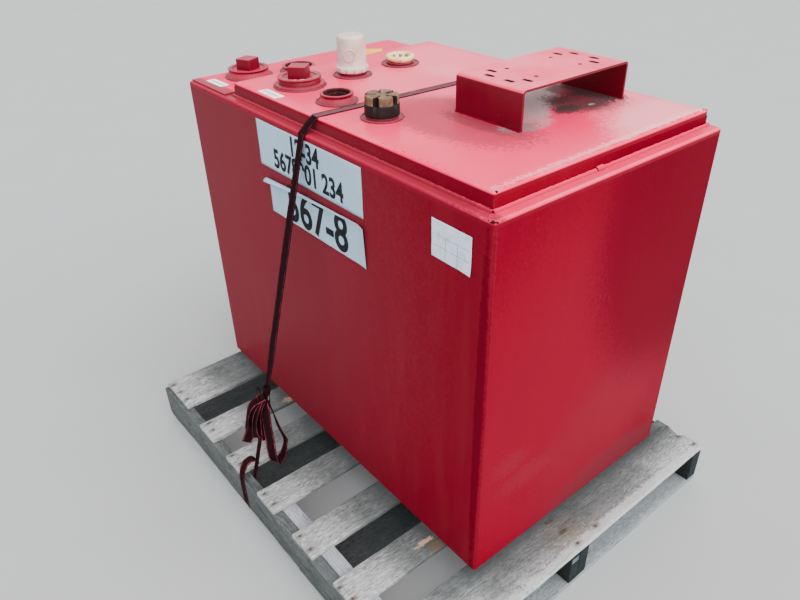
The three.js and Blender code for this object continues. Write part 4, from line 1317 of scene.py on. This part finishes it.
# The spare end: gathered in loose loops under the knot, and left hanging. Each point is how
# far right and how far forward of the knot, as seen from the camera, its height and its twist.
knotAt = {"x": -19.5, "y": -514, "low": 358, "high": 386, "across": 10, "deep": 8}
toRight = Vector((0.407, 0.914, 0))
toFront = Vector((0.914, -0.407, 0))
hankRoute = [
    (-3, 0, 354, 60),
    (-15, -2, 346, 65), (-31, -9, 333, 70), (-46, -13, 310, 78), (-54, -15, 281, 82), (-57, -16, 256, 70),
    (-55, -13, 240, 40), (-48, -6, 262, 70), (-41, -3, 298, 80), (-30, -2, 326, 70), (-14, 0, 346, 60),
    (-24, 7, 328, 65), (-36, 9, 288, 72), (-41, 9, 247, 50), (-36, 9, 228, 20), (-29, 14, 254, 60),
    (-23, 15, 302, 78), (-16, 11, 332, 70), (-6, 6, 350, 50),
    (-6, 13, 338, 40), (-7, 20, 312, 32), (-8, 24, 268, 26), (-7, 25, 218, 22), (-7, 25, 180, 24),
    (-5, 23, 158, 30), (0, 20, 145, 34), (8, 17, 142, 40), (17, 14, 151, 52), (26, 11, 171, 68), (31, 9, 192, 76),
    (32, 7, 211, 62), (22, 6, 245, 66), (14, 4, 288, 76), (6, 2, 322, 70), (-2, -2, 346, 55),
    (-11, -11, 322, 50), (-14, -16, 282, 62), (-16, -17, 243, 75), (-19, -18, 214, 60), (-27, -22, 203, 30),
    (-32, -27, 226, 60), (-28, -27, 272, 75), (-20, -18, 316, 65), (-11, -8, 346, 50),
    (-24, -16, 328, 45), (-38, -30, 284, 35), (-46, -33, 250, 24), (-55, -33, 217, 15), (-68, -32, 184, 10),
]


def hankPoint(right, front, height, twist):
    place = Vector((knotAt["x"], knotAt["y"], 0)) + toRight * right + toFront * front
    return place.x, place.y, height, twist


hankLine = smoothLine([hankPoint(*point) for point in hankRoute], 4)
hankPlaces = [at(*point[:3]) for point in hankLine]
twists = [math.radians(point[3]) for point in hankLine]
hankSides = [toRight * math.cos(twist) + toFront * math.sin(twist) for twist in twists]
hank = makeRibbon("strap_spare_end", squared(hankPlaces, hankSides), hankWebbing, ["strap_hank"])

# The knot: two turns round the taut strap and a small loop at each side
knotPlaces = []
for index in range(57):
    angle = index / 56 * 4 * math.pi + 0.6
    height = knotAt["low"] + 8 + (knotAt["high"] - knotAt["low"] - 16) * index / 56
    knotPlaces.append(at(-19 + knotAt["across"] * math.cos(angle),
                         -510.5 + knotAt["deep"] * math.sin(angle) + 0.264 * (height - 366), height))
knotSides = [Vector((0.1, 0.1, 1)).normalized()] * len(knotPlaces)
makeRibbon("strap_knot_turns", squared(knotPlaces, knotSides), hankWebbing, ["strap_knot"], 16, 1.6)
for name, right, front, low, high in (("left", -16, 6, 356, 390), ("right", 5, 13, 344, 372)):
    loop = []
    for index in range(25):
        angle = index / 24 * 2 * math.pi
        height = (low + high) / 2 + (high - low) / 2 * math.sin(angle)
        loop.append(at(*hankPoint(right + 4 * math.cos(angle), front, height, 0)[:3]))
    makeRibbon(f"strap_knot_{name}_loop", squared(loop, [toFront] * len(loop)), hankWebbing, [], 9, 1.4)
print("strap ready")

# Plate on the end of the middle stringer
plate = bmesh.new()
addBlock(plate, (685.2, -124, 93), (1.2, 22, 14))
finishPiece("stringer_nail_plate", plate, [plateSteel], [])

# Floor and soft light
floorMesh = bmesh.new()
bmesh.ops.create_grid(floorMesh, x_segments=1, y_segments=1, size=30)
floorData = bpy.data.meshes.new("studio_floor")
floorMesh.to_mesh(floorData)
floorMesh.free()
floor = addObject("studio_floor", floorData)
paleFloor, point = newMaterial("paleFloor", 0.2)
floorData.materials.append(setSkin(
    paleFloor, mix(grainOf(point, 3.0), rgb(0.37, 0.37, 0.37), rgb(0.40, 0.40, 0.40)), 0.85))

world = bpy.data.worlds.new("studio")
world.use_nodes = True
bpy.context.scene.world = world
direction = addNode(world.node_tree, "ShaderNodeTexCoord", output="Generated")
bright = 0.45
for way, low, high, share in (  # how bright the soft light is from above, the right, the front and behind
    ((0, 0, 1), 0.0, 1.0, 0.4),
    ((1, 0.1, 0.35), 0.3, 0.95, 5.0),
    ((0, -0.95, 0.35), 0.0, 0.9, 1.1),
    ((-0.72, 0.6, 0.35), 0.2, 0.9, 1.0),
):
    along = vectorCalc("DOT_PRODUCT", direction, Vector(way).normalized(), "Value")
    bright = plus(times(rise(along, low, high), share), bright)
horizon = plus(times(rise(partOf(direction, "Z"), 0.0, 0.35), 0.65), 0.35)
fill(world.node_tree.nodes["Background"].inputs, {
    "Strength": times(bright, horizon), "Color": rgb(0.96, 0.98, 1.0)})

light = {"size": 3.2, "energy": 32, "place": (0.6, 0.4, 4.2)}
softbox = addObject("softbox", bpy.data.lights.new("softbox", "AREA"))
softbox.data.shape = "RECTANGLE"
softbox.data.size = softbox.data.size_y = light["size"]
softbox.data.energy = light["energy"]
softbox.location = light["place"]
print("stage ready")
